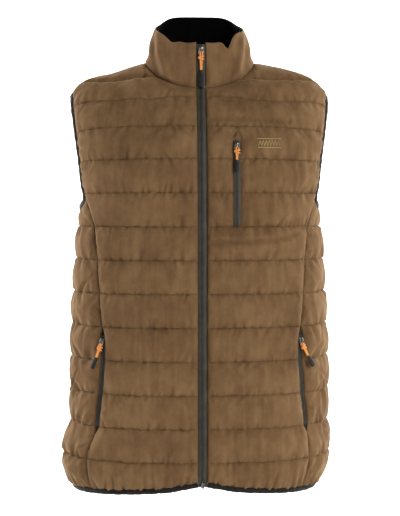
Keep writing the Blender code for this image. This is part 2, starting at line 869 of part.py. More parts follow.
def prism(outline, low, high):
    """Points and faces of an outline in the out and up plane, drawn out across it."""
    count = len(outline)
    points = [(side, out, up) for side in (low, high) for out, up in outline]
    faces = [tuple(range(count)), tuple(range(count, 2 * count))]
    for place in range(count):
        other = (place + 1) % count
        faces.append((place, other, count + other, count + place))
    return points, faces


def slider(name, frame, material):
    """A slider: a flat body with a hooked bridge over the pivot of its pull."""
    body_outline = (
        (0.0, -SLIDER_BELOW + 1.0),
        (0.6, -SLIDER_BELOW),
        (SLIDER_PLATE - 0.4, -SLIDER_BELOW),
        (SLIDER_PLATE, -SLIDER_BELOW + 0.6),
        (SLIDER_PLATE, SLIDER_ABOVE),
        (0.0, SLIDER_ABOVE),
    )
    lip = 0.9
    bridge_outline = (
        (SLIDER_PLATE - 0.5, 2.0),
        (SLIDER_PLATE - 0.5, SLIDER_ABOVE - 0.05),
        (BRIDGE_TOP - 0.9, SLIDER_ABOVE - 0.05),
        (BRIDGE_TOP, 2.2),
        (BRIDGE_TOP, -BRIDGE_BELOW + 0.6),
        (BRIDGE_TOP - 0.7, -BRIDGE_BELOW),
        (BRIDGE_UNDER - lip, -BRIDGE_BELOW),
        (BRIDGE_UNDER - lip, -BRIDGE_BELOW + 0.9),
        (BRIDGE_UNDER, -BRIDGE_BELOW + 1.2),
        (BRIDGE_UNDER, 1.6),
        (BRIDGE_UNDER - 0.4, 2.0),
    )
    points, faces = prism(body_outline, -SLIDER_HALF, SLIDER_HALF)
    made = new_object(name, placed(frame, points), faces, material)
    points, faces = prism(bridge_outline, -BRIDGE_HALF, BRIDGE_HALF)
    bridge = new_object(name + "_bridge", placed(frame, points), faces, material)
    bridge.hide_render = True
    bridge.display_type = "WIRE"
    union = made.modifiers.new("Bridge", "BOOLEAN")
    union.operation = "UNION"
    union.object = bridge
    return made


def loop_tube(name, frame, path, radius, sides, material):
    """A wire or cord bent into a closed loop."""
    path = [np.asarray(point, float) for point in path]
    middle = sum(path) / len(path)
    plane = unit(np.cross(path[1] - path[0], path[0] - middle))
    stations = []
    for index, point in enumerate(path):
        along = unit(path[(index + 1) % len(path)] - path[index - 1])
        out = unit(np.cross(along, plane))
        stations.append(
            placed(
                frame,
                [
                    point
                    + radius * math.cos(2 * math.pi * side / sides) * out
                    + radius * math.sin(2 * math.pi * side / sides) * plane
                    for side in range(sides)
                ],
            )
        )
    return swept(name, stations, True, material)


def ring_path():
    """The pull's metal ring: a rounded link from the pivot down."""
    corner = 1.1
    half, low = RING_HALF, -RING_LENGTH
    outline = (
        (-half + corner, 0.0),
        (half - corner, 0.0),
        (half - 0.3, -0.3),
        (half, -corner),
        (half, low + corner),
        (half - 0.3, low + 0.3),
        (half - corner, low),
        (-half + corner, low),
        (-half + 0.3, low + 0.3),
        (-half, low + corner),
        (-half, -corner),
        (-half + 0.3, -0.3),
    )
    return [(side, PIVOT_HEIGHT, up) for side, up in outline]


def cord_path(length, lean):
    """The pull's cord: a loop round the ring's foot whose strands close on the tab."""
    bar = np.array((0.0, PIVOT_HEIGHT, -RING_LENGTH))
    end = bar + length * lean
    out = np.array((0.0, 1.0, 0.0))
    path = [bar + CORD_TURN * (math.sin(turn) * out + math.cos(turn) * np.array((0.0, 0.0, 1.0)))
            for turn in np.linspace(-math.pi / 2, math.pi / 2, 7)]
    for share, spread in ((0.35, 1.5), (0.7, 1.1), (1.0, 0.95)):
        path.append(bar + (end - bar) * share + out * spread)
    for share, spread in ((1.0, 0.95), (0.7, 1.1), (0.35, 1.5)):
        path.append(bar + (end - bar) * share - out * spread)
    return path


def tab_stations(length, start, lean, width):
    """Cross-sections of the moulded grip at the end of a pull's cord."""
    bar = np.array((0.0, PIVOT_HEIGHT, -RING_LENGTH))
    out = np.array((0.0, 1.0, 0.0))
    side = unit(np.cross(lean, out))
    half = TAB_THICKNESS / 2
    stations = []
    for share, size in ((0.0, 0.55), (0.12, 0.85), (0.5, 0.95), (0.9, 1.0), (1.0, 0.8)):
        middle = bar + lean * (start + length * share)
        thick = half * (0.75 if share in (0.0, 1.0) else 1.0)
        wide, inset = width / 2 * size, 0.7
        section = (
            (-wide, -thick + inset),
            (-wide, thick - inset),
            (-wide + inset, thick),
            (wide - inset, thick),
            (wide, thick - inset),
            (wide, -thick + inset),
            (wide - inset, -thick),
            (-wide + inset, -thick),
        )
        stations.append([middle + side * across + out * up for across, up in section])
    return stations


def hang(prefix, pivot, pieces):
    """Gives a pull its hinge: an empty on the pivot, which carries the pull's pieces."""
    hinge = bpy.data.objects.new(prefix + "_hinge", None)
    hinge.location = pivot * MM
    bpy.context.scene.collection.objects.link(hinge)
    for piece in pieces:
        piece.data.transform(Matrix.Translation(-hinge.location))
        piece.parent = hinge


def zip_pull(prefix, frame, sizes, tilt, lift, materials):
    """The swinging pull of one slider, hung from its pivot: ring, cord and grip."""
    cord_length, tab_length, tab_width = sizes
    lean = np.array((math.sin(tilt), 0.0, -math.cos(tilt)))
    origin, axes = frame
    turn = np.array(
        (
            (1.0, 0.0, 0.0),
            (0.0, math.cos(lift), -math.sin(lift)),
            (0.0, math.sin(lift), math.cos(lift)),
        )
    )
    pivot = np.array((0.0, PIVOT_HEIGHT, 0.0))
    hung = (origin + axes @ (pivot - turn @ pivot), axes @ turn)
    ring = loop_tube(prefix + "_ring", hung, ring_path(), RING_WIRE, 5, materials["metal"])
    strands = cord_path(cord_length, lean)
    cord = loop_tube(prefix + "_cord", hung, strands, CORD_WIRE, 5, materials["cord"])
    start = cord_length + CORD_WIRE + SEAM_GAP
    stations = [placed(hung, section) for section in tab_stations(tab_length, start, lean, tab_width)]
    tab = swept(prefix + "_tab", stations, False, materials["grip"])
    hang(prefix, origin + axes @ pivot, (ring, cord, tab))


def pocket_zip(name, side_sign, material):
    """The zip of a hand pocket, set into the seam of the front and the side panel."""
    low, high = POCKET_ZIP_ROWS
    stations = []
    for row in row_list(low, high):
        angle = seam_angle(row, False)
        across, _, normal = skin_slopes(row, angle)
        section = zip_section(skin_point(row, angle), across, normal, POCKET_ZIP_HALF, 1.1)
        stations.append([point * (side_sign, 1.0, 1.0) for point in section])
    swept(name, stations, False, material)


def chest_zip(name, material):
    """The zip of the chest pocket, laid on the front's own points and moved out."""
    low, high = CHEST_ZIP_ROWS
    columns = (CHEST_ZIP_X - CHEST_ZIP_HALF, CHEST_ZIP_X, CHEST_ZIP_X + CHEST_ZIP_HALF)
    stations = []
    for row in row_list(low, high):
        section = []
        for rise, order in ((CHEST_ZIP_LOW, columns), (CHEST_ZIP_TOP, columns[::-1])):
            for across in order:
                angle = angle_at(across, row, False)
                crown = CHEST_ZIP_CROWN if rise > 1 and across == CHEST_ZIP_X else 0.0
                lift = WALL + rise + crown
                section.append(skin_point(row, angle) + skin_slopes(row, angle)[2] * lift)
        stations.append(section)
    swept(name, stations, False, material)


def zip_box(name, material):
    """The box at the foot of the front zip, between the ends of the hem binding."""
    angle = angle_at(ZIP_EDGE, 0.0, False)
    point = skin_point(0.0, angle) * (0.0, 1.0, 1.0)
    top = skin_point(0.25, angle)[2] - SEAM_GAP
    stations = []
    for height, half, depth in (
        (top - ZIP_BOX_HEIGHT - 5.0, 2.6, 2.6),
        (top - ZIP_BOX_HEIGHT - 4.0, 3.2, 3.4),
        (top - 4.0, 3.2, 3.4),
        (top, 2.6, 2.8),
    ):
        front = point[1] - depth
        back = point[1] - ZIP_LOW
        stations.append(
            [
                (-half, back, height),
                (-half, front + 0.7, height),
                (-half + 0.7, front, height),
                (half - 0.7, front, height),
                (half, front + 0.7, height),
                (half, back, height),
            ]
        )
    swept(name, [[np.array(corner) for corner in line] for line in stations], False, material)


def main():
    """Builds the vest."""
    for old in list(bpy.data.objects):
        bpy.data.objects.remove(old, do_unlink=True)

    cloth = surface("brushed brown shell", 0.171, 0.098, 0.042, 0.85)
    black = surface("black collar lining", 0.006, 0.006, 0.007, 0.95)
    edge = surface("dark elastic binding", 0.020, 0.018, 0.012, 0.8)
    tape = surface("grey green zip tape", 0.055, 0.060, 0.050, 0.7)
    materials = {
        "metal": surface("nickel", 0.55, 0.55, 0.56, 0.3, 1.0),
        "cord": surface("orange cord", 0.80, 0.26, 0.04, 0.7),
        "grip": surface("black moulded grip", 0.008, 0.009, 0.010, 0.5),
    }

    left = front_panel(FRONT_LEFT_COLUMNS, True)
    right = front_panel(FRONT_RIGHT_COLUMNS, False)
    side = side_panel()
    back = back_panel()
    middle = back[0].shape[1] // 2
    back_half = [grid[:, middle:] for grid in back]

    wall("front_left", *left, cloth)
    wall("front_right", *(mirrored(grid) for grid in right), cloth)
    wall("side_left", *side, cloth)
    wall("side_right", *(mirrored(grid) for grid in side), cloth)
    wall("back", *back, cloth)

    collar_left = collar_grids(FRONT_LEFT_COLUMNS)
    collar_right = collar_grids(FRONT_RIGHT_COLUMNS)
    grids = [whole_collar(a, b) for a, b in zip(collar_left, collar_right)]
    wall("collar", grids[0], grids[1], cloth, 1, 1)
    wall("collar_lining", grids[2], grids[3], black, 2, 2)

    for name, sign, front in (("left", 1.0, left), ("right", -1.0, right)):
        points, normals, ways = armhole_loop(front, side, back_half)
        flip = np.array((sign, 1.0, 1.0))
        binding(
            "armhole_binding_" + name,
            [point * flip for point in points],
            [normal * flip for normal in normals],
            True,
            [way * flip for way in ways],
            BINDING_WIDTH,
            edge,
        )

    reversed_back = [grid[:, ::-1] for grid in back_half]
    points, normals = hem_line(left, side, reversed_back, right)
    down = [np.array((0.0, 0.0, -1.0))] * len(points)
    binding("hem_binding", points, normals, False, down, HEM_BINDING_WIDTH, edge)

    line, outward = main_zip_line()
    right_way = np.array((1.0, 0.0, 0.0))
    stations = [
        zip_section(point, right_way, normal, ZIP_HALF, ZIP_COIL_HALF)
        for point, normal in zip(line, outward)
    ]
    swept("main_zip", stations, False, tape)
    zip_box("main_zip_box", materials["metal"])
    pocket_zip("pocket_zip_left", 1.0, tape)
    pocket_zip("pocket_zip_right", -1.0, tape)
    chest_zip("chest_zip", tape)

    clear = ZIP_COIL_TOP + SEAM_GAP
    up = line[-1] - line[-2]
    foot = line[-1] - unit(up) * MAIN_SLIDER_BELOW_TOP + outward[-1] * clear
    frame = frame_on(foot, outward[-1], up)
    slider("main_slider", frame, materials["metal"])
    zip_pull("main_pull", frame, MAIN_PULL_SIZES, 0.0, 0.0, materials)

    row = CHEST_ZIP_ROWS[1] - CHEST_SLIDER_BELOW_TOP
    angle = angle_at(CHEST_ZIP_X, row, False)
    _, up, normal = skin_slopes(row, angle)
    foot = skin_point(row, angle) + normal * (WALL + CHEST_ZIP_TOP + CHEST_ZIP_CROWN + SEAM_GAP)
    frame = frame_on(foot, normal, up)
    slider("chest_slider", frame, materials["metal"])
    zip_pull("chest_pull", frame, CHEST_PULL_SIZES, 0.0, 0.0, materials)

    row = POCKET_ZIP_ROWS[1] - POCKET_SLIDER_BELOW_TOP
    angle = seam_angle(row, False)
    _, up, normal = skin_slopes(row, angle)
    foot = skin_point(row, angle) + normal * clear
    for name, sign, lean in (("left", 1.0, 24.0), ("right", -1.0, 16.0)):
        flip = np.array((sign, 1.0, 1.0))
        frame = frame_on(foot * flip, normal * flip, up * flip)
        slider("pocket_slider_" + name, frame, materials["metal"])
        tilt, lift = -sign * math.radians(lean), math.radians(POCKET_PULL_LIFT)
        zip_pull("pocket_pull_" + name, frame, POCKET_PULL_SIZES, tilt, lift, materials)


main()
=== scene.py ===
"""Looks of a quilted insulated vest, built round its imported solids.

Sizes are in millimetres unless a name ends in _m, and meshes are made in metres. +Z is up, the front
faces -Y and +X is the wearer's left. Every piece of cloth is set on one surface, the inner face of
the vest's body: a row counts quilting channels upward from the hem, and an angle goes round from the
centre front to the centre back.
"""

import json
import logging
import math
from dataclasses import dataclass, field
from enum import Enum
from functools import cached_property
from typing import Any, Callable, Sequence

import bpy
import numpy as np
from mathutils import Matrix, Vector
from mathutils.bvhtree import BVHTree

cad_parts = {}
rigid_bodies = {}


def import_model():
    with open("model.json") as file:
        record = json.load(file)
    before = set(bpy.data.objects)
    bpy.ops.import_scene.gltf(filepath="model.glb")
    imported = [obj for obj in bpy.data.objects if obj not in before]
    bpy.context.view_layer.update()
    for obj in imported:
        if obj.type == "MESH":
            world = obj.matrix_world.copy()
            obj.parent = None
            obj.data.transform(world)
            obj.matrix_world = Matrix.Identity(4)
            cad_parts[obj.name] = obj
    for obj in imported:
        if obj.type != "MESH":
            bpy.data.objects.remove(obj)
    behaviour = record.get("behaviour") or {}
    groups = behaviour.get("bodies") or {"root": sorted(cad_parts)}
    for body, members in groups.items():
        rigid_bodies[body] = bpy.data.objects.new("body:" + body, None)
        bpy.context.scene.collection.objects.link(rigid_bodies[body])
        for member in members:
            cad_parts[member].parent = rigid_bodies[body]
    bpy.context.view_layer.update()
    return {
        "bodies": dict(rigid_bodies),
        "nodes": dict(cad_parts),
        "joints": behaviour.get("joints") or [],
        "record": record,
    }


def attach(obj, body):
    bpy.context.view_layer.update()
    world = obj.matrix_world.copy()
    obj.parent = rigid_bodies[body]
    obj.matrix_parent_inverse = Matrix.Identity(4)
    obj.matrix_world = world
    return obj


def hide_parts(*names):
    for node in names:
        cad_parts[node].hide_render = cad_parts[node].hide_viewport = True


Grid = np.ndarray
MM = 0.001
VEST_BODY = "vest"
ZIP_EDGE = 7.6
POCKET_ROWS = (2.0, 4.75)
CHEST_ROWS = (8.0, 11.0)
CHEST_ZIP_AT = 54.0
LOG = logging.getLogger("vest")


class Side(Enum):
    """A side of the wearer; its value is the sign of distances from the centre there."""

    LEFT = 1.0
    RIGHT = -1.0

    @property
    def word(self) -> str:
        """The side's word in the names of pieces."""
        return self.name.lower()

    @property
    def flip(self) -> Grid:
        """Factors that turn points of the wearer's left to this side's."""
        return np.array((self.value, 1.0, 1.0))


# Factors that mirror points in the vest's middle plane
MIRROR = np.array((-1.0, 1.0, 1.0))

# Body sections, each a rounded oval
BODY = (
    # height, half width, depth in front, depth behind
    (-690.0, 197.0, 127.0, 112.0),
    (-640.0, 205.0, 132.0, 116.0),
    (-530.0, 206.0, 132.0, 113.0),
    (-460.0, 204.0, 130.0, 110.0),
    (-390.0, 202.0, 128.0, 107.0),
    (-320.0, 197.0, 127.0, 107.0),
    (-265.0, 193.0, 127.0, 110.0),
    (-212.0, 195.0, 127.0, 112.0),
    (-162.0, 200.0, 127.0, 112.0),
    (-112.0, 206.0, 127.0, 112.0),
    (-64.0, 212.0, 127.0, 112.0),
    (0.0, 217.0, 127.0, 112.0),
)

# Upper quilting rows: how far a line falls at the armhole, and where the armhole cuts it
ARMHOLE = (
    # row, fall of the line, half width in front, half width behind
    (9.0, 0.0, 184.5, 185.5),
    (9.25, 0.0, 188.0, 189.0),
    (10.0, 3.0, 192.0, 194.0),
    (11.0, 9.0, 198.5, 200.5),
    (12.0, 17.0, 204.0, 205.0),
    (13.0, 33.0, 207.0, 207.5),
    (14.0, 0.0, 208.0, 208.0),
)

# Side seams: half widths where the front and the back meet the side panels
SIDE_SEAM = (
    # row, front seam, back seam
    (0.0, 168.0, 166.0),
    (1.0, 171.0, 168.0),
    (2.0, 165.0, 168.0),
    (3.0, 159.0, 167.0),
    (4.0, 155.0, 166.0),
    (5.0, 156.0, 165.0),
    (6.0, 160.0, 165.0),
    (7.0, 162.0, 166.0),
    (8.0, 167.0, 169.0),
    (8.5, 174.5, 176.0),
    (9.0, 184.5, 185.5),
)


def linear(code: str) -> tuple[float, float, float, float]:
    """Turns an sRGB hex colour to linear light.

    Args:
        code: the colour as six hex digits.

    Returns:
        Red, green, blue and an alpha of one.
    """
    parts = (int(code[place : place + 2], 16) / 255 for place in (0, 2, 4))
    red, green, blue = (p / 12.92 if p <= 0.04045 else ((p + 0.055) / 1.055) ** 2.4 for p in parts)
    return red, green, blue, 1.0


def column(table: Sequence[Sequence[float]], key: Any, place: int) -> Any:
    """Reads one column of a table at a key or an array of keys, in straight steps between rows."""
    return np.interp(key, [row[0] for row in table], [row[place] for row in table])


def unit(vectors: Grid) -> Grid:
    """Directions of length one, along the last axis."""
    return vectors / np.maximum(np.linalg.norm(vectors, axis=-1, keepdims=True), 1e-9)


def smooth_step(low: float, high: float, value: Any) -> Any:
    """Rises from 0 at low to 1 at high along an S curve."""
    share = np.clip((value - low) / (high - low), 0.0, 1.0)
    return share * share * (3.0 - 2.0 * share)


def rounded(distance: Grid, reach: float) -> Grid:
    """Rises from 0 at an edge to 1 at its reach, steeply at first, as a rounded edge does."""
    return (1.0 - (1.0 - np.clip(distance / reach, 0, 1)) ** 2) ** 0.5


def both_halves(left: Grid, right: Grid) -> Grid:
    """Joins the halves of a grid that runs round from the zip, meeting at the centre back.

    Args:
        left: the left half, from the zip to the centre back.
        right: the right half, as a left one; points are mirrored, plain values are kept.

    Returns:
        The whole grid, from the zip's left round to its right.
    """
    if left.ndim == 3:
        right = right * MIRROR
    middle = (left[:, -1:] + right[:, -1:]) / 2
    return np.concatenate([left[:, :-1], middle, right[:, -2::-1]], axis=1)


@dataclass(frozen=True)
class VestForm:
    """The inner face of the vest's body, with the sizes that its solids have."""

    pitch: float = 52.9
    lowest_line: float = -635.0
    lines_below_arm: int = 8
    lines_above_arm: int = 5
    oval_power: float = 2.5
    hem_front: float = -674.0
    hem_side_drop: float = 16.0
    hem_back_drop: float = 2.0
    hem_curve: float = 0.6
    hem_binding: float = 6.5
    neck_half: float = 88.0
    tip_half: float = 208.0
    shoulder_slope: float = 0.23
    shoulder_round: float = 24.0
    shoulder_round_power: float = 6.0
    neck_drop_front: float = 46.0
    neck_rise_back: float = 8.0
    neck_curve: float = 0.55
    back_crown: float = 34.0
    front_power: float = 2.0
    tip_power: float = 2.9
    back_power: float = 2.6
    line_fall_power: float = 1.4
    seam_gap: float = 0.3

    @property
    def arm_row(self) -> int:
        """The row at the foot of the armholes."""
        return self.lines_below_arm

    @property
    def top_row(self) -> int:
        """The row of the shoulder seams and the neck seam."""
        return self.lines_below_arm + self.lines_above_arm + 1

    @property
    def side_top_row(self) -> float:
        """The row of the side panels' upper edges."""
        return self.arm_row + 1.0

    @property
    def arm_height(self) -> float:
        """Height of the row at the foot of the armholes."""
        return self.lowest_line + (self.lines_below_arm - 1) * self.pitch

    @cached_property
    def line_heights(self) -> list[float]:
        """Heights of the rows at the front, a pitch of cloth apart."""
        rise, depth = -self.arm_height, float(column(BODY, self.arm_height, 2))
        tilts = np.linspace(0.0, math.pi / 2, 2001)
        heights, depths = rise * np.sin(tilts), depth * np.cos(tilts)
        run = np.concatenate([[0.0], np.cumsum(np.hypot(np.diff(heights), np.diff(depths)))])
        marks = self.pitch * np.arange(1, self.lines_above_arm + 1)
        lower = [self.lowest_line + self.pitch * line for line in range(self.lines_below_arm)]
        upper = list(self.arm_height + np.interp(marks, run, heights))
        return [self.hem_front + self.hem_binding] + lower + upper + [0.0]

    def shoulder_height(self, across: Grid) -> Grid:
        """Height of the shoulder seam at distances from the centre."""
        past = np.maximum(across - self.neck_half, 0.0)
        share = past / (self.tip_half - self.neck_half)
        return -self.shoulder_slope * past - self.shoulder_round * share**self.shoulder_round_power

    def crest_height(self, across: Grid, behind: Grid) -> Grid:
        """Height where the chest or the back would close over the shoulder."""
        inside = np.maximum(1.0 - (across / self.neck_half) ** 2, 0.0)
        return self.shoulder_height(across) + np.where(behind, self.back_crown * inside, 0.0)

    def power(self, across: Grid, behind: Grid) -> Grid:
        """Fullness of the curved profile, squarer towards the armhole."""
        share = np.clip((across - self.neck_half) / (self.tip_half - self.neck_half), 0.0, 1.0) ** 2
        middle = np.where(behind, self.back_power, self.front_power)
        return middle + (self.tip_power - middle) * share

    def tilt(self, height: Grid, across: Grid, behind: Grid) -> Grid:
        """Angle up the curved profile at which a height lies."""
        share = (height - self.arm_height) / (self.crest_height(across, behind) - self.arm_height)
        return np.arcsin(np.clip(share, 0.0, 1.0) ** (self.power(across, behind) / 2))

    def line_tilt(self, line: int, across: Grid, behind: Grid) -> Grid:
        """Angle up the profile of one whole row.

        Args:
            line: the row's number.
            across: distances from the centre.
            behind: true where the panel is the back.

        Returns:
            The angles, zero at the foot of the armholes.
        """
        inside = across < self.neck_half
        if line >= self.top_row:
            share = np.maximum(1.0 - (across / self.neck_half) ** 2, 0.0) ** self.neck_curve
            seam = np.where(behind, self.neck_rise_back * share, -self.neck_drop_front * share)
            return np.where(inside, self.tilt(seam, across, behind), math.pi / 2)
        fallen = self.shoulder_height(across) / self.shoulder_height(np.array(self.tip_half))
        drop = column(ARMHOLE, line, 1) * fallen**self.line_fall_power
        plain = self.tilt(self.line_heights[line] - drop, across, behind)
        neck_row = self.top_row - 2
        if line <= neck_row:
            return plain
        corner = np.full_like(across, self.neck_half)
        low, low_corner = (self.line_tilt(neck_row, x, behind) for x in (across, corner))
        share = (self.tilt(self.line_heights[line] - 0 * across, corner, behind) - low_corner) / (
            math.pi / 2 - low_corner
        )
        fanned = low + share * (self.line_tilt(self.top_row, across, behind) - low)
        return np.where(inside & ~behind, fanned, plain)

    def hem_height(self, angle: Grid) -> Grid:
        """Height of the cloth's lower edge round the body."""
        side = np.where(angle < math.pi / 2, np.abs(np.sin(angle)) ** self.hem_curve, 1.0)
        edge = self.hem_front - self.hem_side_drop * side
        edge = edge - self.hem_back_drop * np.maximum(-np.cos(angle), 0.0)
        return edge + self.hem_binding + self.seam_gap

    def skin(self, row: Grid, angle: Grid) -> Grid:
        """Points of the body's inner face on the wearer's left.

        Args:
            row: rows, an array.
            angle: angles round the body, an array of the same shape.

        Returns:
            Points in millimetres, with a last axis of three.
        """
        height = np.interp(row, range(len(self.line_heights)), self.line_heights)
        half, front, back = (column(BODY, height, place) for place in (1, 2, 3))
        behind = angle > math.pi / 2
        across = half * np.abs(np.sin(angle)) ** (2 / self.oval_power)
        deep = np.abs(np.cos(angle)) ** (2 / self.oval_power) * np.where(behind, back, -front)
        hem = self.hem_height(angle)
        low = np.where(row < 1.0, hem + row * (self.lowest_line - hem), height)
        tilts = [
            self.line_tilt(line, across, behind) for line in range(self.arm_row, self.top_row + 1)
        ]
        place = np.clip(row - self.arm_row, 0.0, self.top_row - self.arm_row - 1e-9)
        step = place.astype(int)
        stack = np.array(tilts)
        before = np.take_along_axis(stack, step[None], 0)[0]
        after = np.take_along_axis(stack, step[None] + 1, 0)[0]
        tilt = before + (place - step) * (after - before)
        power = self.power(across, behind)
        rise = self.crest_height(across, behind) - self.arm_height
        high = self.arm_height + rise * np.sin(tilt) ** (2 / power)
        above = row > self.arm_row
        depth = np.where(above, deep * np.maximum(np.cos(tilt), 0.0) ** (2 / power), deep)
        return np.stack([across, depth, np.where(above, high, low)], axis=-1)

    def chest_point(self, across: Grid, height: Grid) -> Grid:
        """Points of the upper front at distances from the centre and at heights.

        Args:
            across: distances from the centre.
            height: heights.

        Returns:
            The points, with a last axis of three.
        """
        behind = np.zeros(across.shape, bool)
        half, front, _ = (column(BODY, height, place) for place in (1, 2, 3))
        angle = np.arcsin(np.clip(across / half, 0.0, 1.0) ** (self.oval_power / 2))
        deep = -front * np.cos(angle) ** (2 / self.oval_power)
        tilt = self.tilt(height, across, behind)
        depth = deep * np.maximum(np.cos(tilt), 0.0) ** (2 / self.power(across, behind))
        return np.stack([across, depth, height], axis=-1)

    def chest_normals(self, points: Grid) -> Grid:
        """Directions out of the upper front at points on it, evened out a little to each side.

        Args:
            points: points of the upper front.

        Returns:
            The directions, one for each point.
        """
        across, behind = points[..., 0], np.zeros(points.shape[:-1], bool)
        tilt = np.clip(self.tilt(points[..., 2], across, behind), 0.05, 1.54)

        def moved(step: float, turn: float) -> Grid:
            """Points a step to the side and a turn up the profile."""
            there = across + step
            rise = self.crest_height(there, behind) - self.arm_height
            height = self.arm_height + rise * np.sin(tilt + turn) ** (2 / self.power(there, behind))
            return self.chest_point(there, height)

        return unit(np.cross(moved(14.0, 0.0) - moved(-14.0, 0.0), moved(0.0, 0.02) - moved(0.0, -0.02)))

    def angle_at(self, across: Grid, row: Grid, behind: bool) -> Grid:
        """Angles round the body at which rows reach distances from the centre."""
        height = np.interp(row, range(len(self.line_heights)), self.line_heights)
        half = column(BODY, height, 1)
        angle = np.arcsin(np.clip(across / half, 0.0, 1.0) ** (self.oval_power / 2))
        return math.pi - angle if behind else angle

    def slopes(self, row: Grid, angle: Grid) -> tuple[Grid, Grid, Grid]:
        """Unit steps across and up the skin, and its normal pointing out."""
        high, low = np.minimum(row + 0.02, self.top_row), np.maximum(row - 0.02, 0.0)
        right, left = np.minimum(angle + 0.004, math.pi), np.maximum(angle - 0.004, 0.0)
        across = unit(self.skin(row, right) - self.skin(row, left))
        up = unit(self.skin(high, angle) - self.skin(low, angle))
        return across, up, unit(np.cross(across, up))

    def shifted(self, row: Grid, angle: Grid, distance: Any) -> Grid:
        """Angles moved along their rows by a distance on the cloth."""
        run = np.linalg.norm(self.skin(row, angle + 0.002) - self.skin(row, angle - 0.002), axis=-1)
        return angle + distance * 0.004 / run

    def seam_angle(self, row: Grid, behind: bool) -> Grid:
        """Angles of a side seam, and of the armhole above it."""
        place = 2 if behind else 1
        low, high = column(SIDE_SEAM, row, place), column(ARMHOLE, row, place + 1)
        return self.angle_at(np.where(row <= self.side_top_row, low, high), row, behind)


FORM = VestForm()


@dataclass(frozen=True)
class Hang:
    """How the vest hangs askew: each move, and the stretch over which it sets in."""

    shoulder_sag: float = 7.0
    shoulder_across: float = -146.0
    shoulder_spread: float = 38.0
    shoulder_heights: tuple[float, float] = (-110.0, -40.0)
    hem_drop: float = 4.0
    hem_drop_heights: tuple[float, float] = (-640.0, -680.0)
    hem_drop_across: tuple[float, float] = (9.0, 60.0)
    right_swing: float = 11.0
    right_heights: tuple[float, float] = (-585.0, -632.0)
    right_return: float = 4.0
    right_return_heights: tuple[float, float] = (-650.0, -690.0)
    left_swing: float = 9.0
    left_heights: tuple[float, float] = (-635.0, -685.0)
    swing_across: tuple[float, float] = (115.0, 185.0)

    def moved(self, points: Grid) -> Grid:
        """Moves points: the right shoulder a little low, the hem swung to the wearer's right.

        Args:
            points: points, their last axis across, deep and up.

        Returns:
            The moved points.
        """
        across, height = points[..., 0], points[..., 2]
        beside = np.abs(across)
        low = self.hem_drop * smooth_step(*self.hem_drop_heights, height)
        low = low * smooth_step(*self.hem_drop_across, beside)
        near = np.exp(-(((across - self.shoulder_across) / self.shoulder_spread) ** 2))
        sag = self.shoulder_sag * near * smooth_step(*self.shoulder_heights, height)
        right = self.right_swing * smooth_step(*self.right_heights, height)
        right = right - self.right_return * smooth_step(*self.right_return_heights, height)
        left = self.left_swing * smooth_step(*self.left_heights, height)
        swing = np.where(across < 0.0, right, left) * smooth_step(*self.swing_across, beside)
        return points - np.stack([swing, np.zeros_like(swing), sag + low], axis=-1)


HANG = Hang()


def add_node(
    tree: bpy.types.NodeTree,
    kind: str,
    settings: dict[str, Any] | None = None,
    links: dict[Any, bpy.types.NodeSocket] | None = None,
) -> bpy.types.Node:
    """Adds a node with its settings and links.

    Args:
        tree: the node tree that takes it.
        kind: the node's type name, without the ShaderNode in front.
        settings: values by name; a name that is an input socket sets that socket.
        links: output sockets by the input that they feed.

    Returns:
        The new node.
    """
    node = tree.nodes.new("ShaderNode" + kind)
    for name, value in (settings or {}).items():
        if isinstance(name, int) or name in node.inputs:
            node.inputs[name].default_value = value
        else:
            setattr(node, name, value)
    for name, socket in (links or {}).items():
        tree.links.new(socket, node.inputs[name])
    return node


def colour_ramp(
    tree: bpy.types.NodeTree, source: bpy.types.NodeSocket, stops: Sequence[tuple[float, str]]
) -> bpy.types.NodeSocket:
    """Adds a colour ramp with sRGB hex stops and returns its colour.

    Args:
        tree: the node tree that takes it.
        source: the value that is turned to a colour.
        stops: places from 0 to 1 and their colours.

    Returns:
        The ramp's colour socket.
    """
    ramp = add_node(tree, "ValToRGB", links={"Fac": source})
    elements = ramp.color_ramp.elements
    while len(elements) < len(stops):
        elements.new(0.5)
    for element, (place, code) in zip(elements, stops):
        element.position = place
        element.color = linear(code)
    return ramp.outputs["Color"]


def stretched(tree: bpy.types.NodeTree, sizes: Sequence[float]) -> bpy.types.NodeSocket:
    """Object coordinates scaled so that one unit is the given size in millimetres on each axis."""
    place = add_node(tree, "TexCoord")
    scale = tuple(1.0 / (size * MM) for size in sizes)
    node = add_node(tree, "Mapping", {"Scale": scale}, {"Vector": place.outputs["Object"]})
    return node.outputs["Vector"]


def noise(
    tree: bpy.types.NodeTree, sizes: Sequence[float], detail: float, rough: float = 0.5
) -> bpy.types.NodeSocket:
    """Noise whose patches have about the given sizes in millimetres."""
    settings = {"Scale": 1.0, "Detail": detail, "Roughness": rough}
    links = {"Vector": stretched(tree, sizes)}
    return add_node(tree, "TexNoise", settings, links).outputs["Fac"]


def combined(
    tree: bpy.types.NodeTree, operation: str, first: Any, second: Any, clamp: bool = False
) -> bpy.types.NodeSocket:
    """Adds a math node over two values, each an output socket or a number.

    Args:
        tree: the node tree that takes it.
        operation: the operation's name.
        first: the first value.
        second: the second value.
        clamp: whether the result is kept from 0 to 1.

    Returns:
        The node's output socket.
    """
    settings: dict[Any, Any] = {"operation": operation, "use_clamp": clamp}
    links = {}
    for place, value in enumerate((first, second)):
        if isinstance(value, float):
            settings[place] = value
        else:
            links[place] = value
    return add_node(tree, "Math", settings, links).outputs[0]


def bump_on(
    shader: bpy.types.Node,
    height: bpy.types.NodeSocket,
    strength: float,
    depth: float,
    invert: bool = False,
) -> None:
    """Gives a shader a bump of a depth in millimetres."""
    tree = shader.id_data
    settings = {"Strength": strength, "Distance": depth * MM, "invert": invert}
    bump = add_node(tree, "Bump", settings, {"Height": height})
    tree.links.new(bump.outputs["Normal"], shader.inputs["Normal"])


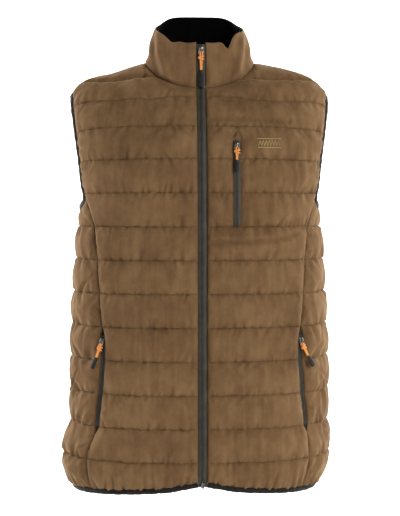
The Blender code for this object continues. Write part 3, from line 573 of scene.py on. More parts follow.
def new_material(name: str, settings: dict[str, Any]) -> tuple[bpy.types.Material, Any, Any]:
    """Makes a material whose shader has the given values on its own sockets.

    Returns:
        The material, its node tree and its shader.
    """
    made = bpy.data.materials.new(name)
    made.use_nodes = True
    shader = made.node_tree.nodes["Principled BSDF"]
    for socket, value in settings.items():
        shader.inputs[socket].default_value = value
    return made, made.node_tree, shader


@dataclass(frozen=True)
class BrushedMicrofibre:
    """Warp-knitted polyester microfibre, brushed to a short nap like suede.

    The nap lies a different way from place to place, so the cloth shows soft darker and lighter
    streaks down the vest, and its edges catch a pale rim of light. A darker brown is painted in as
    shade along its stitched lines and in its creases.
    """

    name: str = "brushed_microfibre"
    deep: str = "5A422B"
    middle: str = "73573A"
    pale: str = "896C4B"
    # Painted shade: the dark brown mixed in along stitched lines and in creases
    painted_shade: str = "432E1A"
    layers: tuple[tuple[tuple[float, float, float], float, float, float], ...] = (
        # size of its patches, detail, roughness, share of the whole
        ((80.0, 80.0, 110.0), 2.0, 0.5, 0.36),
        ((9.0, 9.0, 90.0), 2.0, 0.5, 0.24),
        ((20.0, 20.0, 24.0), 5.0, 0.65, 0.40),
    )
    stops: tuple[float, float, float] = (0.30, 0.49, 0.70)
    ragged: tuple[float, float, float] = (6.0, 6.0, 9.0)
    nap: float = 1.5
    nap_depth: float = 0.3
    # How much of the painted shade is mixed in along seams and in creases
    seam_shade: float = 0.22
    crease_shade: float = 0.32

    def make(self) -> bpy.types.Material:
        """Builds the material."""
        made, tree, shader = new_material(
            self.name,
            {
                "Roughness": 0.92,
                "Sheen Weight": 0.45,
                "Sheen Roughness": 0.38,
                "Sheen Tint": linear("D2B48C"),
                "Specular IOR Level": 0.15,
            },
        )
        total = None
        for sizes, detail, rough, share in self.layers:
            some = combined(tree, "MULTIPLY", noise(tree, sizes, detail, rough), share)
            total = some if total is None else combined(tree, "ADD", total, some)
        colour = colour_ramp(tree, total, list(zip(self.stops, (self.deep, self.middle, self.pale))))
        torn = add_node(
            tree,
            "MapRange",
            {"From Min": 0.3, "From Max": 0.65, "To Min": 0.35, "To Max": 1.15},
            {"Value": noise(tree, self.ragged, 3.0, 0.6)},
        ).outputs[0]
        # Painted shade: the darker brown is mixed in where the seam and crease masks say, broken up by noise
        for attribute, strength in (("crease", self.crease_shade), ("seam", self.seam_shade)):
            shade_mask = add_node(tree, "Attribute", {"attribute_name": attribute}).outputs["Fac"]
            broken = combined(tree, "MULTIPLY", shade_mask, torn)
            depth = combined(tree, "MULTIPLY", broken, strength, clamp=True)
            colour = add_node(
                tree, "MixRGB", {"Color2": linear(self.painted_shade)}, {"Fac": depth, "Color1": colour}
            ).outputs[0]
        tree.links.new(colour, shader.inputs["Base Color"])
        bump_on(shader, noise(tree, (self.nap, self.nap, self.nap * 2.0), 3.0, 0.65), 0.7, self.nap_depth)
        return made


@dataclass(frozen=True)
class PlainWeave:
    """A plain cloth of fine threads with a soft, even face, such as taffeta or a brushed lining."""

    name: str
    colour: str
    pale: str
    roughness: float = 0.85
    sheen: float = 0.1
    thread: float = 0.9
    depth: float = 0.15
    specular: float = 0.25

    def make(self) -> bpy.types.Material:
        """Builds the material."""
        made, tree, shader = new_material(
            self.name,
            {"Roughness": self.roughness, "Sheen Weight": self.sheen, "Specular IOR Level": self.specular},
        )
        mottle = noise(tree, (14.0, 14.0, 14.0), 3.0)
        ends = ((0.35, self.colour), (0.7, self.pale))
        tree.links.new(colour_ramp(tree, mottle, ends), shader.inputs["Base Color"])
        threads = [
            add_node(
                tree,
                "TexWave",
                {"bands_direction": way, "Scale": 1.0 / 3.14},
                {"Vector": stretched(tree, (self.thread,) * 3)},
            ).outputs["Fac"]
            for way in ("X", "Z")
        ]
        bump_on(shader, combined(tree, "MULTIPLY", *threads), 0.5, self.depth)
        return made


@dataclass(frozen=True)
class NickelPlate:
    """Die-cast zinc with a nickel plate: bright, with faint tumbling marks."""

    name: str = "nickel_plated_zinc"
    colour: str = "8A8781"
    roughness: float = 0.27

    def make(self) -> bpy.types.Material:
        """Builds the material."""
        made, tree, shader = new_material(self.name, {"Metallic": 1.0})
        marks = noise(tree, (0.8, 0.8, 0.8), 4.0, 0.7)
        worn = add_node(
            tree,
            "MapRange",
            {"To Min": self.roughness - 0.06, "To Max": self.roughness + 0.16},
            {"Value": marks},
        )
        tree.links.new(worn.outputs[0], shader.inputs["Roughness"])
        tone = colour_ramp(tree, noise(tree, (3.0, 3.0, 3.0), 2.0), ((0.3, "625F5A"), (0.7, self.colour)))
        tree.links.new(tone, shader.inputs["Base Color"])
        return made


@dataclass(frozen=True)
class MouldedRubber:
    """Black thermoplastic rubber, moulded with a fine satin grain."""

    name: str = "moulded_rubber"
    colour: str = "0C0C0D"

    def make(self) -> bpy.types.Material:
        """Builds the material."""
        made, tree, shader = new_material(self.name, {"Roughness": 0.5, "Specular IOR Level": 0.35})
        grain = noise(tree, (0.35, 0.35, 0.35), 2.0)
        tone = colour_ramp(tree, grain, ((0.3, "070708"), (0.7, self.colour)))
        tree.links.new(tone, shader.inputs["Base Color"])
        bump_on(shader, grain, 0.4, 0.05)
        return made


@dataclass(frozen=True)
class BraidedCord:
    """Braided polyester cord: slanting strands, with shade painted darker into the gaps between them."""

    name: str
    colour: str
    # Colour of the shade painted into the gaps between strands
    gap: str
    strand: float = 0.7

    def make(self) -> bpy.types.Material:
        """Builds the material."""
        made, tree, shader = new_material(
            self.name, {"Roughness": 0.7, "Sheen Weight": 0.15, "Specular IOR Level": 0.3}
        )
        turned = add_node(
            tree,
            "Mapping",
            {"Rotation": (0.6, 0.6, 0.6)},
            {"Vector": stretched(tree, (self.strand,) * 3)},
        )
        cells = add_node(tree, "TexVoronoi", {"Scale": 1.0}, {"Vector": turned.outputs["Vector"]})
        tone = colour_ramp(tree, cells.outputs["Distance"], ((0.25, self.colour), (0.85, self.gap)))
        tree.links.new(tone, shader.inputs["Base Color"])
        bump_on(shader, cells.outputs["Distance"], 0.7, 0.12, invert=True)
        return made


@dataclass(frozen=True)
class StudioPaper:
    """Matt white background paper."""

    name: str = "studio_paper"

    def make(self) -> bpy.types.Material:
        """Builds the material."""
        made, tree, shader = new_material(self.name, {"Roughness": 0.95, "Specular IOR Level": 0.1})
        tone = colour_ramp(tree, noise(tree, (40.0, 40.0, 40.0), 3.0), ((0.3, "F4F4F3"), (0.7, "FAFAF9")))
        tree.links.new(tone, shader.inputs["Base Color"])
        return made


@dataclass
class Finishes:
    """Every finish of the vest, made once."""

    shell: bpy.types.Material = field(default_factory=BrushedMicrofibre().make)
    # Polyester taffeta: a dark, plain inside that takes no light from the shell
    inside: bpy.types.Material = field(
        default_factory=PlainWeave("dark_lining", "15130F", "1D1A15").make
    )
    # Brushed tricot: the deepest black of the vest, without any shine
    collar_lining: bpy.types.Material = field(
        default_factory=PlainWeave(
            "brushed_black_lining", "020202", "050505", 0.95, 0.0, 1.2, specular=0.05
        ).make
    )
    # Polyamide and elastane: nearly black, with a faint edge of light on its fold
    binding: bpy.types.Material = field(
        default_factory=PlainWeave("elastic_binding", "15120D", "1D1913", 0.75, 0.12, 0.8, 0.2).make
    )
    # Polyester tape: a flat olive grey, lighter than the coil
    tape: bpy.types.Material = field(
        default_factory=PlainWeave("zip_tape", "3C382C", "474234", 0.6, 0.08, 0.7, 0.12).make
    )
    # Polyester monofilament under its sewing: a fine dark ridge down the zip
    coil: bpy.types.Material = field(
        default_factory=PlainWeave("zip_coil", "2A2824", "353330", 0.5, 0.0, 0.6, 0.1).make
    )
    metal: bpy.types.Material = field(default_factory=NickelPlate().make)
    # Orange braid; its second, darker colour is shade painted into the gaps between strands
    cord: bpy.types.Material = field(
        default_factory=BraidedCord("orange_cord", "FFB05C", "DC7A2C").make
    )
    grip: bpy.types.Material = field(default_factory=MouldedRubber().make)
    # Spun polyester thread, a shade darker than the shell, so that its stitches only just show
    thread: bpy.types.Material = field(
        default_factory=PlainWeave("brown_thread", "4A351F", "5A4229", 0.7, 0.1, 0.3, 0.05).make
    )
    # Rayon thread: its sheen lifts the mark off the nap
    embroidery: bpy.types.Material = field(
        default_factory=PlainWeave("khaki_thread", "9A8450", "B39C66", 0.5, 0.3, 0.3, 0.05).make
    )


def make_object(
    name: str,
    points: Grid,
    faces: Sequence[Sequence[int]],
    materials: Sequence[bpy.types.Material],
    slots: Sequence[int] | None = None,
) -> bpy.types.Object:
    """Makes a smooth mesh object from points in millimetres.

    Args:
        name: the piece's name.
        points: the points, one row each.
        faces: point numbers of each face, wound so that it faces out.
        materials: the piece's materials.
        slots: the material of each face, the first one if left out.

    Returns:
        The new object.
    """
    mesh = bpy.data.meshes.new(name)
    mesh.from_pydata((np.asarray(points, float) * MM).tolist(), [], [list(face) for face in faces])
    for material in materials:
        mesh.materials.append(material)
    if slots is not None:
        mesh.polygons.foreach_set("material_index", np.asarray(slots, np.int32))
    mesh.shade_smooth()
    made = bpy.data.objects.new(name, mesh)
    bpy.context.scene.collection.objects.link(made)
    return made


def take_place(made: bpy.types.Object, node: str | None, body: str = VEST_BODY) -> None:
    """Puts a piece in a node's place and its body, and reports it.

    Args:
        made: the piece.
        node: the node that it stands for, or none for a piece that stands for no node.
        body: the body that it rides on.
    """
    if node is not None:
        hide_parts(node)
    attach(made, body)
    LOG.info("%s: %d faces, on %s", made.name, len(made.data.polygons), body)


def finer(grid: Grid) -> Grid:
    """A grid with a point halfway between each pair, on a smooth curve through its neighbours.

    Args:
        grid: the grid, rows by columns by any number of values.

    Returns:
        The grid with almost twice the rows and columns.
    """
    for axis in (0, 1):
        grid = np.swapaxes(grid, 0, axis)
        first, last = 2 * grid[:1] - grid[1:2], 2 * grid[-1:] - grid[-2:-1]
        wide = np.concatenate([first, grid, last])
        middle = (9 * (wide[1:-2] + wide[2:-1]) - wide[:-3] - wide[3:]) / 16
        made = np.empty((2 * len(grid) - 1,) + grid.shape[1:])
        made[::2], made[1::2] = grid, middle
        grid = np.swapaxes(made, 0, axis)
    return grid


def cloth_lengths(grid: Grid) -> tuple[Grid, Grid]:
    """Distances along the cloth from the first column, and up it from the first row.

    Args:
        grid: the cloth's points, rows by columns by three.

    Returns:
        Both distances, each an array of rows by columns.
    """
    across = np.linalg.norm(np.diff(grid, axis=1), axis=-1)
    up = np.linalg.norm(np.diff(grid, axis=0), axis=-1)
    return (
        np.concatenate([np.zeros((grid.shape[0], 1)), np.cumsum(across, axis=1)], axis=1),
        np.concatenate([np.zeros((1, grid.shape[1])), np.cumsum(up, axis=0)], axis=0),
    )


@dataclass(frozen=True)
class Puckers:
    """Short creases that a gathered seam draws in the cloth beside it."""

    spacing: float = 12.0
    depth: float = 0.8
    length: float = 12.0
    width: float = 3.4
    slant: float = 0.3

    def field(self, along: Grid, away: Grid, end: float, seed: int) -> Grid:
        """How far the creases of one seam flatten the cloth, from 0 to 1.

        Args:
            along: distances along the seam.
            away: distances from the seam, on the side that puckers.
            end: the seam's length.
            seed: starts the random draws.

        Returns:
            Shares of the cloth's height that the creases take away.
        """
        random = np.random.default_rng(seed)
        made = np.zeros_like(along)
        place = random.uniform(0.0, self.spacing)
        while place < end:
            deep = self.depth * random.uniform(0.3, 1.0)
            reach = self.length * random.uniform(0.4, 1.4)
            wide = self.width * random.uniform(0.7, 1.5)
            lean = self.slant * random.normal()
            side = (along - place - lean * away) / (wide * (1.0 + 0.6 * away / self.length))
            made = np.maximum(made, deep * np.exp(-((away / reach) ** 2) - side * side))
            place += self.spacing * random.uniform(0.5, 1.6)
        return made


@dataclass(frozen=True)
class Roll:
    """How a channel's cloth bulges unevenly along its lines and sags over the lower one."""

    long: float = 60.0
    short: float = 21.0
    short_share: float = 0.7
    lean: float = 0.6
    lean_swing: float = 0.45
    lean_long: float = 33.0
    hem_lean_long: float = 17.0
    lean_jitter: float = 0.4
    lean_short: float = 8.0
    most_lean: float = 1.2
    sag_height: float = 4.5
    sag_spread: float = 3.5
    sag_start: float = 1.5

    def bulge(self, run: Grid, above: Grid, below: Grid, seed: int) -> Grid:
        """An uneven wave along the nearer one of a channel's two lines."""
        lower, upper = (
            waves(run, self.long, first) + self.short_share * waves(run, self.short, first + 10)
            for first in (seed + 300, seed + 400)
        )
        return np.where(above < below, lower, upper)

    def sag(self, run: Grid, above: Grid, at_hem: bool, seed: int) -> Grid:
        """How far the cloth sags over the line below it, from 0 to about 1."""
        length = self.hem_lean_long if at_hem else self.lean_long
        lean = self.lean + self.lean_swing * waves(run, length, seed + 500)
        lean = lean + self.lean_jitter * waves(run, self.lean_short, seed + 510)
        reach = np.exp(-(((above - self.sag_height) / self.sag_spread) ** 2))
        return np.clip(lean, 0.0, self.most_lean) * reach * smooth_step(0.0, self.sag_start, above)


@dataclass(frozen=True)
class ClothSim:
    """Settles a sheet of cloth that is held at its stitches and blown up a little from inside."""

    scale: float = 20.0
    frames: int = 20
    spare: tuple[float, float, float] = (1.05, 1.05, 1.0)
    pressure: float = 5.0
    mass: float = 0.12
    tension: float = 30.0
    compression: float = 20.0
    shear: float = 10.0
    bending: float = 10.0
    damping: float = 3.0
    reach: float = 6.0
    easing: int = 3

    def eased(self, moved: Grid, held: Grid) -> Grid:
        """Moves without their grid-sized part, still none at the stitches.

        Args:
            moved: how far each point has moved.
            held: true where a stitch holds the cloth.

        Returns:
            The smoother moves.
        """
        for _ in range(self.easing):
            for axis in (0, 1):
                moved = np.swapaxes(moved, 0, axis)
                wide = np.concatenate([moved[:1], moved, moved[-1:]])
                moved = np.swapaxes((wide[:-2] + 2 * wide[1:-1] + wide[2:]) / 4, 0, axis)
            moved = np.where(held[..., None], 0.0, moved)
        return moved

    def settle(self, name: str, start: Grid, held: Grid) -> Grid:
        """Lets the cloth find its creases.

        Args:
            name: name for the mesh that is settled.
            start: the points it starts from.
            held: true where a stitch holds it.

        Returns:
            The settled points, none further from its start than the reach.
        """
        high, wide = start.shape[:2]
        ids = np.arange(high * wide).reshape(high, wide)
        faces = np.stack([ids[:-1, :-1], ids[:-1, 1:], ids[1:, 1:], ids[1:, :-1]], -1).reshape(-1, 4)
        made = make_object(name + "_settling", start.reshape(-1, 3) * self.scale, faces.tolist(), [])
        pins = made.vertex_groups.new(name="stitches")
        pins.add([int(place) for place in ids[held]], 1.0, "REPLACE")
        made.shape_key_add(name="Basis")
        cut = made.shape_key_add(name="cut")
        longer = start.reshape(-1, 3) * np.array(self.spare) * MM * self.scale
        cut.data.foreach_set("co", longer.astype(np.float32).ravel())
        modifier = made.modifiers.new("Settling", "CLOTH")
        cloth = modifier.settings
        cloth.quality = 5
        cloth.mass = self.mass
        cloth.air_damping = self.damping
        cloth.tension_stiffness = self.tension
        cloth.compression_stiffness = self.compression
        cloth.shear_stiffness = self.shear
        cloth.bending_stiffness = self.bending
        cloth.vertex_group_mass = "stitches"
        cloth.rest_shape_key = cut
        cloth.use_pressure = True
        cloth.uniform_pressure_force = self.pressure
        cloth.effector_weights.gravity = 0.0
        modifier.collision_settings.use_collision = False
        modifier.collision_settings.use_self_collision = False
        modifier.point_cache.frame_start = 1
        modifier.point_cache.frame_end = self.frames
        scene = bpy.context.scene
        for frame in range(1, self.frames + 1):
            scene.frame_set(frame)
        shaped = made.evaluated_get(bpy.context.evaluated_depsgraph_get())
        found = np.empty(high * wide * 3, np.float32)
        shaped.data.vertices.foreach_get("co", found)
        mesh = made.data
        bpy.data.objects.remove(made, do_unlink=True)
        bpy.data.meshes.remove(mesh)
        scene.frame_set(1)
        moved = found.reshape(high, wide, 3) / (MM * self.scale) - start
        far = np.linalg.norm(moved, axis=-1, keepdims=True)
        LOG.info("%s settled, %.1f mm at most", name, float(far.max()))
        return start + self.eased(moved * np.minimum(1.0, self.reach / np.maximum(far, 1e-6)), held)


@dataclass
class Panel:
    """A quilted panel: a plain inner face, an outer face raised between its stitched lines."""

    name: str
    sign: float = 1.0
    seed: int = 1
    wall: float = 3.0
    puff: float = 7.0
    edge_reach: float = 13.0
    neck_reach: float = 14.0
    cells: int = 24
    sim: ClothSim = ClothSim()
    roll: Roll = Roll()
    line_puckers: Puckers = Puckers(12.0, 0.85, 14.0, 3.4, 0.3)
    hem_puckers: Puckers = Puckers(14.0, 1.1, 20.0, 3.0, 0.25)
    cut_puckers: Puckers = Puckers(12.0, 0.5, 8.0, 2.8, 0.6)
    edge_puckers: Puckers = Puckers(11.0, 0.55, 9.0, 3.6, 0.4)
    arm_puckers: Puckers = Puckers(9.0, 0.95, 20.0, 3.0, 0.35)
    shoulder_puckers: Puckers = Puckers(15.0, 0.55, 22.0, 3.8, 0.8)
    shoulder_fullness: float = 0.3
    unevenness: float = 0.4
    swell: float = 0.12
    swell_lengths: tuple[float, float] = (74.0, 90.0)
    ripple: float = 0.05
    ripple_length: float = 27.0
    stitch_dip: float = 0.7
    stitch_width: float = 1.8
    line_width: float = 4.0
    crease_depth: float = 0.9
    crease_share: float = 0.85
    deepest: float = -1.5
    roundness: float = 3.2
    filled: float = 0.05
    droop: float = 3.0
    hem_sag: float = 1.7
    cover: float = 3.0
    arm_cover: float = 5.0
    top_bound: bool = False
    columns: int = 120
    neck_share: float = 0.5
    fan_row: float = 10.0
    low_row: float = 0.0
    high_row: float = float(FORM.top_row)
    both_sides: bool = True

    @cached_property
    def rows(self) -> Grid:
        """The grid's rows, whole ones among them."""
        count = round((self.high_row - self.low_row) * self.cells) + 1
        return np.linspace(self.low_row, self.high_row, count)

    def angles(self) -> Grid:
        """Angles round the body of every grid point."""
        raise NotImplementedError

    def neck_columns(self) -> Grid:
        """How far each column has come from the centre to the neck point, from 0 to 1."""
        return np.clip(np.linspace(0.0, 1.0, self.columns + 1) / self.neck_share, 0.0, 1.0)

    def fanned(self, on_chest: Grid, on_neck: Grid, shift: Any, behind: bool) -> Grid:
        """Angles of columns that fan out to the neck seam, and go on to the panel's side.

        Args:
            on_chest: distances of the columns from the centre, low on the panel.
            on_neck: the same at the neck seam.
            shift: distance from the side seam to the panel's edge, below the armhole.
            behind: whether the panel is the back.

        Returns:
            Angles round the body of every grid point.
        """
        rows = self.rows
        fan = smooth_step(self.fan_row, FORM.top_row, rows)[:, None]
        across = on_chest[None] + (on_neck - on_chest)[None] * fan
        angle = FORM.angle_at(across, np.broadcast_to(rows[:, None], across.shape).copy(), behind)
        edge = FORM.seam_angle(rows, behind)
        edge = np.where(rows <= FORM.side_top_row, FORM.shifted(rows, edge, shift), edge)
        share = np.linspace(0.0, 1.0, self.columns + 1)
        beyond = np.clip((share - self.neck_share) / (1 - self.neck_share), 0.0, 1.0)[None]
        return angle + (edge[:, None] - angle) * beyond

    def extra_lines(self, along: Grid, up: Grid) -> list[tuple[Grid, float]]:
        """Distances to stitched lines other than the quilting, and how hard each one pulls."""
        return []

    def sewn(self) -> list[tuple[int, slice]]:
        """The grid rows and columns that show a row of stitches."""
        return [(low, columns) for low, _, columns in self.channel_parts() if low > 0]

    def floors(self, along: Grid) -> Grid:
        """The share of the puff that the cloth keeps at its stitched lines."""
        return np.full_like(along, self.filled)

    def held(self, nearest: Grid) -> Grid:
        """True where something holds the cloth while it settles."""
        return nearest < 0.5

    def neck_distance(self, points: Grid) -> Grid | float:
        """Distances to the neck seam."""
        return 1e3

    @cached_property
    def inner(self) -> Grid:
        """Points of the plain inner face."""
        angles = self.angles()
        return FORM.skin(np.broadcast_to(self.rows[:, None], angles.shape).copy(), angles)

    @cached_property
    def normals(self) -> Grid:
        """Directions out of the inner face."""
        angles = self.angles()
        return FORM.slopes(self.placed_rows(angles), angles)[2]

    def placed_rows(self, angles: Grid) -> Grid:
        """The body's row that each grid point lies on."""
        return np.broadcast_to(self.rows[:, None], angles.shape).copy()

    def channel_parts(self) -> list[tuple[int, int, slice]]:
        """The channels, as their lower and upper grid rows and the columns that they take up."""
        lines = [place for place, row in enumerate(self.rows) if abs(row - round(row)) < 1e-6]
        lines = sorted(set([0] + lines + [len(self.rows) - 1]))
        return [(low, high, slice(None)) for low, high in zip(lines, lines[1:])]

    def fullness(self, points: Grid) -> Grid:
        """The share of the puff that each point has, less along the shoulder."""
        rows = self.rows[:, None] + 0.0 * points[..., 0]
        top = FORM.top_row
        return 1.0 - (1.0 - self.shoulder_fullness) * smooth_step(top - 1.1, top - 0.4, rows)

    def edge_distance(self, along: Grid) -> Grid:
        """Distances to the panel's sides, from where the armhole's binding ends.

        Args:
            along: distances along the cloth from its first column.

        Returns:
            The distances, rows by columns.
        """
        rows = np.broadcast_to(self.rows[:, None], along.shape)
        arm = smooth_step(FORM.side_top_row - 0.3, FORM.side_top_row + 0.1, rows)
        near, far = along, along[:, -1:] - along
        if self.both_sides:
            near = np.maximum(near - self.arm_cover * arm, 0.0)
        return np.minimum(near, np.maximum(far - self.arm_cover * arm, 0.0))

    def edge_creases(self, along: Grid, up: Grid) -> Grid:
        """Creases drawn by the side seams and, above them, by the armhole's binding.

        Args:
            along: distances along the cloth from its first column.
            up: distances up the cloth from its lower edge.

        Returns:
            How creased the cloth is, from 0 to 1.
        """
        rows = self.rows[:, None] + 0.0 * along
        at_arm = smooth_step(FORM.side_top_row - 0.2, FORM.side_top_row + 0.1, rows)
        made = np.zeros_like(along)
        for place, away in enumerate((along[:, -1:] - along, along)):
            seed = self.seed * 1000 + 500 + place
            if place == 1 and not self.both_sides:
                break
            low = self.edge_puckers.field(up, away, float(up.max()), seed) * (1.0 - at_arm)
            high = self.arm_puckers.field(up, away, float(up.max()), seed + 10) * at_arm
            made = np.maximum(made, np.maximum(low, high))
        return made

    def puckers_on(self, low: int) -> Puckers:
        """The creases above a channel's lower line."""
        if low == 0:
            return self.hem_puckers
        return self.shoulder_puckers if self.rows[low] > FORM.top_row - 2.5 else self.line_puckers

    def dip(self, distance: Grid) -> Grid:
        """How deep the thread of a stitched line sinks at distances from it."""
        return self.stitch_dip * np.exp(-((distance / self.stitch_width) ** 2))

    def channels(self, along: Grid, up: Grid) -> tuple[Grid, Grid, Grid, Grid, Grid]:
        """What the channels do to the cloth.

        Args:
            along: distances along the cloth from the first column.
            up: distances up the cloth from the lower edge.

        Returns:
            Distances from the nearest quilting line, heights of the channels, creases, from 0 to 1,
            how steeply the cloth rises from its lines, and how far it sags over the line below.
        """
        shape = along.shape
        to_line, span, creases = np.full(shape, 1e3), np.zeros(shape), np.zeros(shape)
        rolls, sag = np.ones(shape), np.zeros(shape)
        for low, high, columns in self.channel_parts():
            part = (slice(low, high + 1), columns)
            above, below = up[part] - up[low : low + 1, columns], up[high : high + 1, columns] - up[part]
            span[part] = above[-1:]
            if low == 0:
                above = np.maximum(above - self.cover, 0.0)
            if self.top_bound and high == len(self.rows) - 1:
                below = np.maximum(below - self.arm_cover, 0.0)
            to_line[part] = np.minimum(above, below)
            run = along[part]
            end, seed = float(along[low].max()), self.seed * 1000 + 2 * int(round(self.rows[low]))
            upward = self.puckers_on(low).field(run, above, end, seed)
            downward = self.puckers_on(high).field(run, below, end, seed + 1)
            creases[part] = np.maximum(upward, downward)
            rolls[part] = 1.0 + self.unevenness * self.roll.bulge(run, above, below, seed)
            sagging = self.hem_sag if low == 0 else 1.0
            sag[part] = self.roll.sag(run, above, low == 0, seed) * sagging
        return to_line, span, creases, rolls, sag

    def relief(self) -> tuple[Grid, Grid, Grid, Grid]:
        """How the outer face stands off the inner one.

        Returns:
            Heights over the inner face, distances from the nearest stitched line, how creased the
            cloth is, from 0 to 1, and how far it sags over the line below.
        """
        along, up = cloth_lengths(self.inner)
        to_line, span, creases, rolls, sag = self.channels(along, up)
        to_edge, to_neck = self.edge_distance(along), self.neck_distance(self.inner)
        creases = np.maximum(creases, self.edge_creases(along, up))
        share = np.clip(to_line / np.maximum(span / 2, 8.0), 0, 1) ** np.clip(rolls, 0.5, 1.7)
        floor = self.floors(along) * smooth_step(2.0, 14.0, np.minimum(up, up[-1:] - up))
        full = floor + (1.0 - floor) * (1.0 - (1.0 - share) ** self.roundness) ** 0.5
        rim, neck = rounded(to_edge, self.edge_reach), rounded(to_neck, self.neck_reach)
        size = np.clip(span / FORM.pitch, 0.35, 1.1) ** 0.8
        height = self.puff * full * rim * neck * size * self.fullness(self.inner)
        nearest = np.minimum(np.minimum(to_line, to_edge), to_neck)
        for distance, strength in self.extra_lines(along, up):
            height *= 1.0 - strength * np.exp(-((distance / self.line_width) ** 2))
            nearest = np.minimum(nearest, 0.7 * distance + 3.0 * (1.0 - strength))
            if strength > 0.8:
                height -= self.dip(distance)
                end, seed = float(along.max()), self.seed * 1000 + 900
                drawn = self.cut_puckers.field(along, distance, end, seed)
                creases = np.maximum(creases, drawn)
        length, rise = self.swell_lengths
        swell = self.swell * waves(along + 0.4 * up, length, self.seed + 60)
        swell = swell * waves(up, rise, self.seed + 70)
        swell = swell + self.ripple * waves(along + 0.15 * up, self.ripple_length, self.seed + 80)
        height = height * (1.0 - self.crease_share * creases) * (1.0 + swell)
        free = smooth_step(0.0, 6.0, to_edge)
        height = height - (self.crease_depth * creases + self.dip(to_line)) * free
        return np.maximum(height, self.deepest), nearest, creases, self.droop * sag * free * neck

    def outer(self) -> tuple[Grid, Grid, Grid]:
        """Points of the outer face, distances from stitched lines and how creased it is."""
        height, nearest, creases, sag = self.relief()
        ups = unit(np.gradient(self.inner, axis=0))
        points = self.inner + self.normals * (self.wall + height)[..., None] - ups * sag[..., None]
        return points, nearest, creases

    def build(self, finishes: Finishes) -> bpy.types.Object:
        """Builds the panel as one closed wall and puts it in its node's place.

        Args:
            finishes: the vest's materials.

        Returns:
            The panel's object.
        """
        outer, nearest, creases = self.outer()
        start = outer[::2, ::2]
        outer = outer + finer(self.sim.settle(self.name, start, self.held(nearest)[::2, ::2]) - start)
        flip = np.array((self.sign, 1.0, 1.0))
        inner, outer = HANG.moved(self.inner[::2, ::2] * flip), HANG.moved(outer * flip)
        materials = (finishes.shell, finishes.inside)
        made = wall_object(
            self.name + "_quilted", inner, outer, self.sign, materials, nearest, creases
        )
        take_place(made, self.name)
        self.sew(outer, finishes)
        return made

    def sew(self, outer: Grid, finishes: Finishes) -> None:
        """Lays the stitches along the quilting lines of the finished outer face."""
        normals = unit(np.cross(np.gradient(outer, axis=1), np.gradient(outer, axis=0))) * self.sign
        lines = [(outer[row, columns], normals[row, columns]) for row, columns in self.sewn()]
        Stitches(self.name + "_stitches").build(lines, finishes)


def wall_object(
    name: str,
    inner: Grid,
    outer: Grid,
    sign: float,
    materials: Sequence[bpy.types.Material],
    nearest: Grid,
    creases: Grid | None = None,
) -> bpy.types.Object:
    """Makes a closed wall from an inner grid and an outer one of twice its fineness.

    Args:
        name: the piece's name.
        inner: the inner grid.
        outer: the outer grid, with a point more between each pair of the inner grid's points.
        sign: 1 where rows run to the wearer's left of the front, and -1 for a mirrored panel.
        materials: the outer and the inner material.
        nearest: distance of each outer point from a stitched line, which sets the painted shade there.
        creases: how creased each outer point is, which sets the painted shade there.

    Returns:
        The new object.
    """
    high, wide = outer.shape[:2]
    low_high, low_wide = inner.shape[:2]
    ids = np.arange(high * wide).reshape(high, wide)
    back = high * wide + np.arange(low_high * low_wide).reshape(low_high, low_wide)
    faces = np.stack([ids[:-1, :-1], ids[:-1, 1:], ids[1:, 1:], ids[1:, :-1]], -1).reshape(-1, 4).tolist()
    slots = [0] * len(faces)
    inside = np.stack([back[:-1, :-1], back[1:, :-1], back[1:, 1:], back[:-1, 1:]], -1).reshape(-1, 4)
    faces += inside.tolist()
    slots += [1] * len(inside)
    edges = (
        (ids[0], back[0], 1),
        (ids[:, -1], back[:, -1], 1),
        (ids[-1], back[-1], -1),
        (ids[:, 0], back[:, 0], -1),
    )
    for fine, coarse, way in edges:
        for place in range(len(coarse) - 1):
            first, middle, last = fine[2 * place : 2 * place + 3]
            faces.append([first, coarse[place], coarse[place + 1], last, middle][::way])
            slots.append(0)
    if sign < 0:
        faces = [face[::-1] for face in faces]
    points = np.concatenate([outer.reshape(-1, 3), inner.reshape(-1, 3)])
    made = make_object(name, points, faces, materials, slots)
    if creases is None:
        creases = np.zeros_like(nearest)
    # Painted shade on the shell: a thin dark line along each stitched line, and a soft band round it and in
    # the creases
    seam_shade_line = np.exp(-((nearest / 1.3) ** 2))
    crease_shade_band = np.clip(np.exp(-((nearest / 3.5) ** 2)) * 0.35 + creases * 0.45, 0.0, 1.0)
    for name_of, field_of in (("seam", seam_shade_line), ("crease", crease_shade_band)):
        values = np.zeros(len(points))
        values[: high * wide] = field_of.reshape(-1)
        attribute = made.data.attributes.new(name_of, "FLOAT", "POINT")
        attribute.data.foreach_set("value", values.astype(np.float32))
    return made


# The two highest quilting lines of the wearer's left front
LEFT_DROPS = (
    # distance from the centre, how many rows each line hangs lower there
    (50.0, 0.05, 0.30),
    (88.0, 0.16, 0.33),
    (115.0, 0.19, 0.33),
    (146.0, 0.12, 0.24),
    (170.0, 0.05, 0.12),
    (196.0, 0.00, 0.00),
)


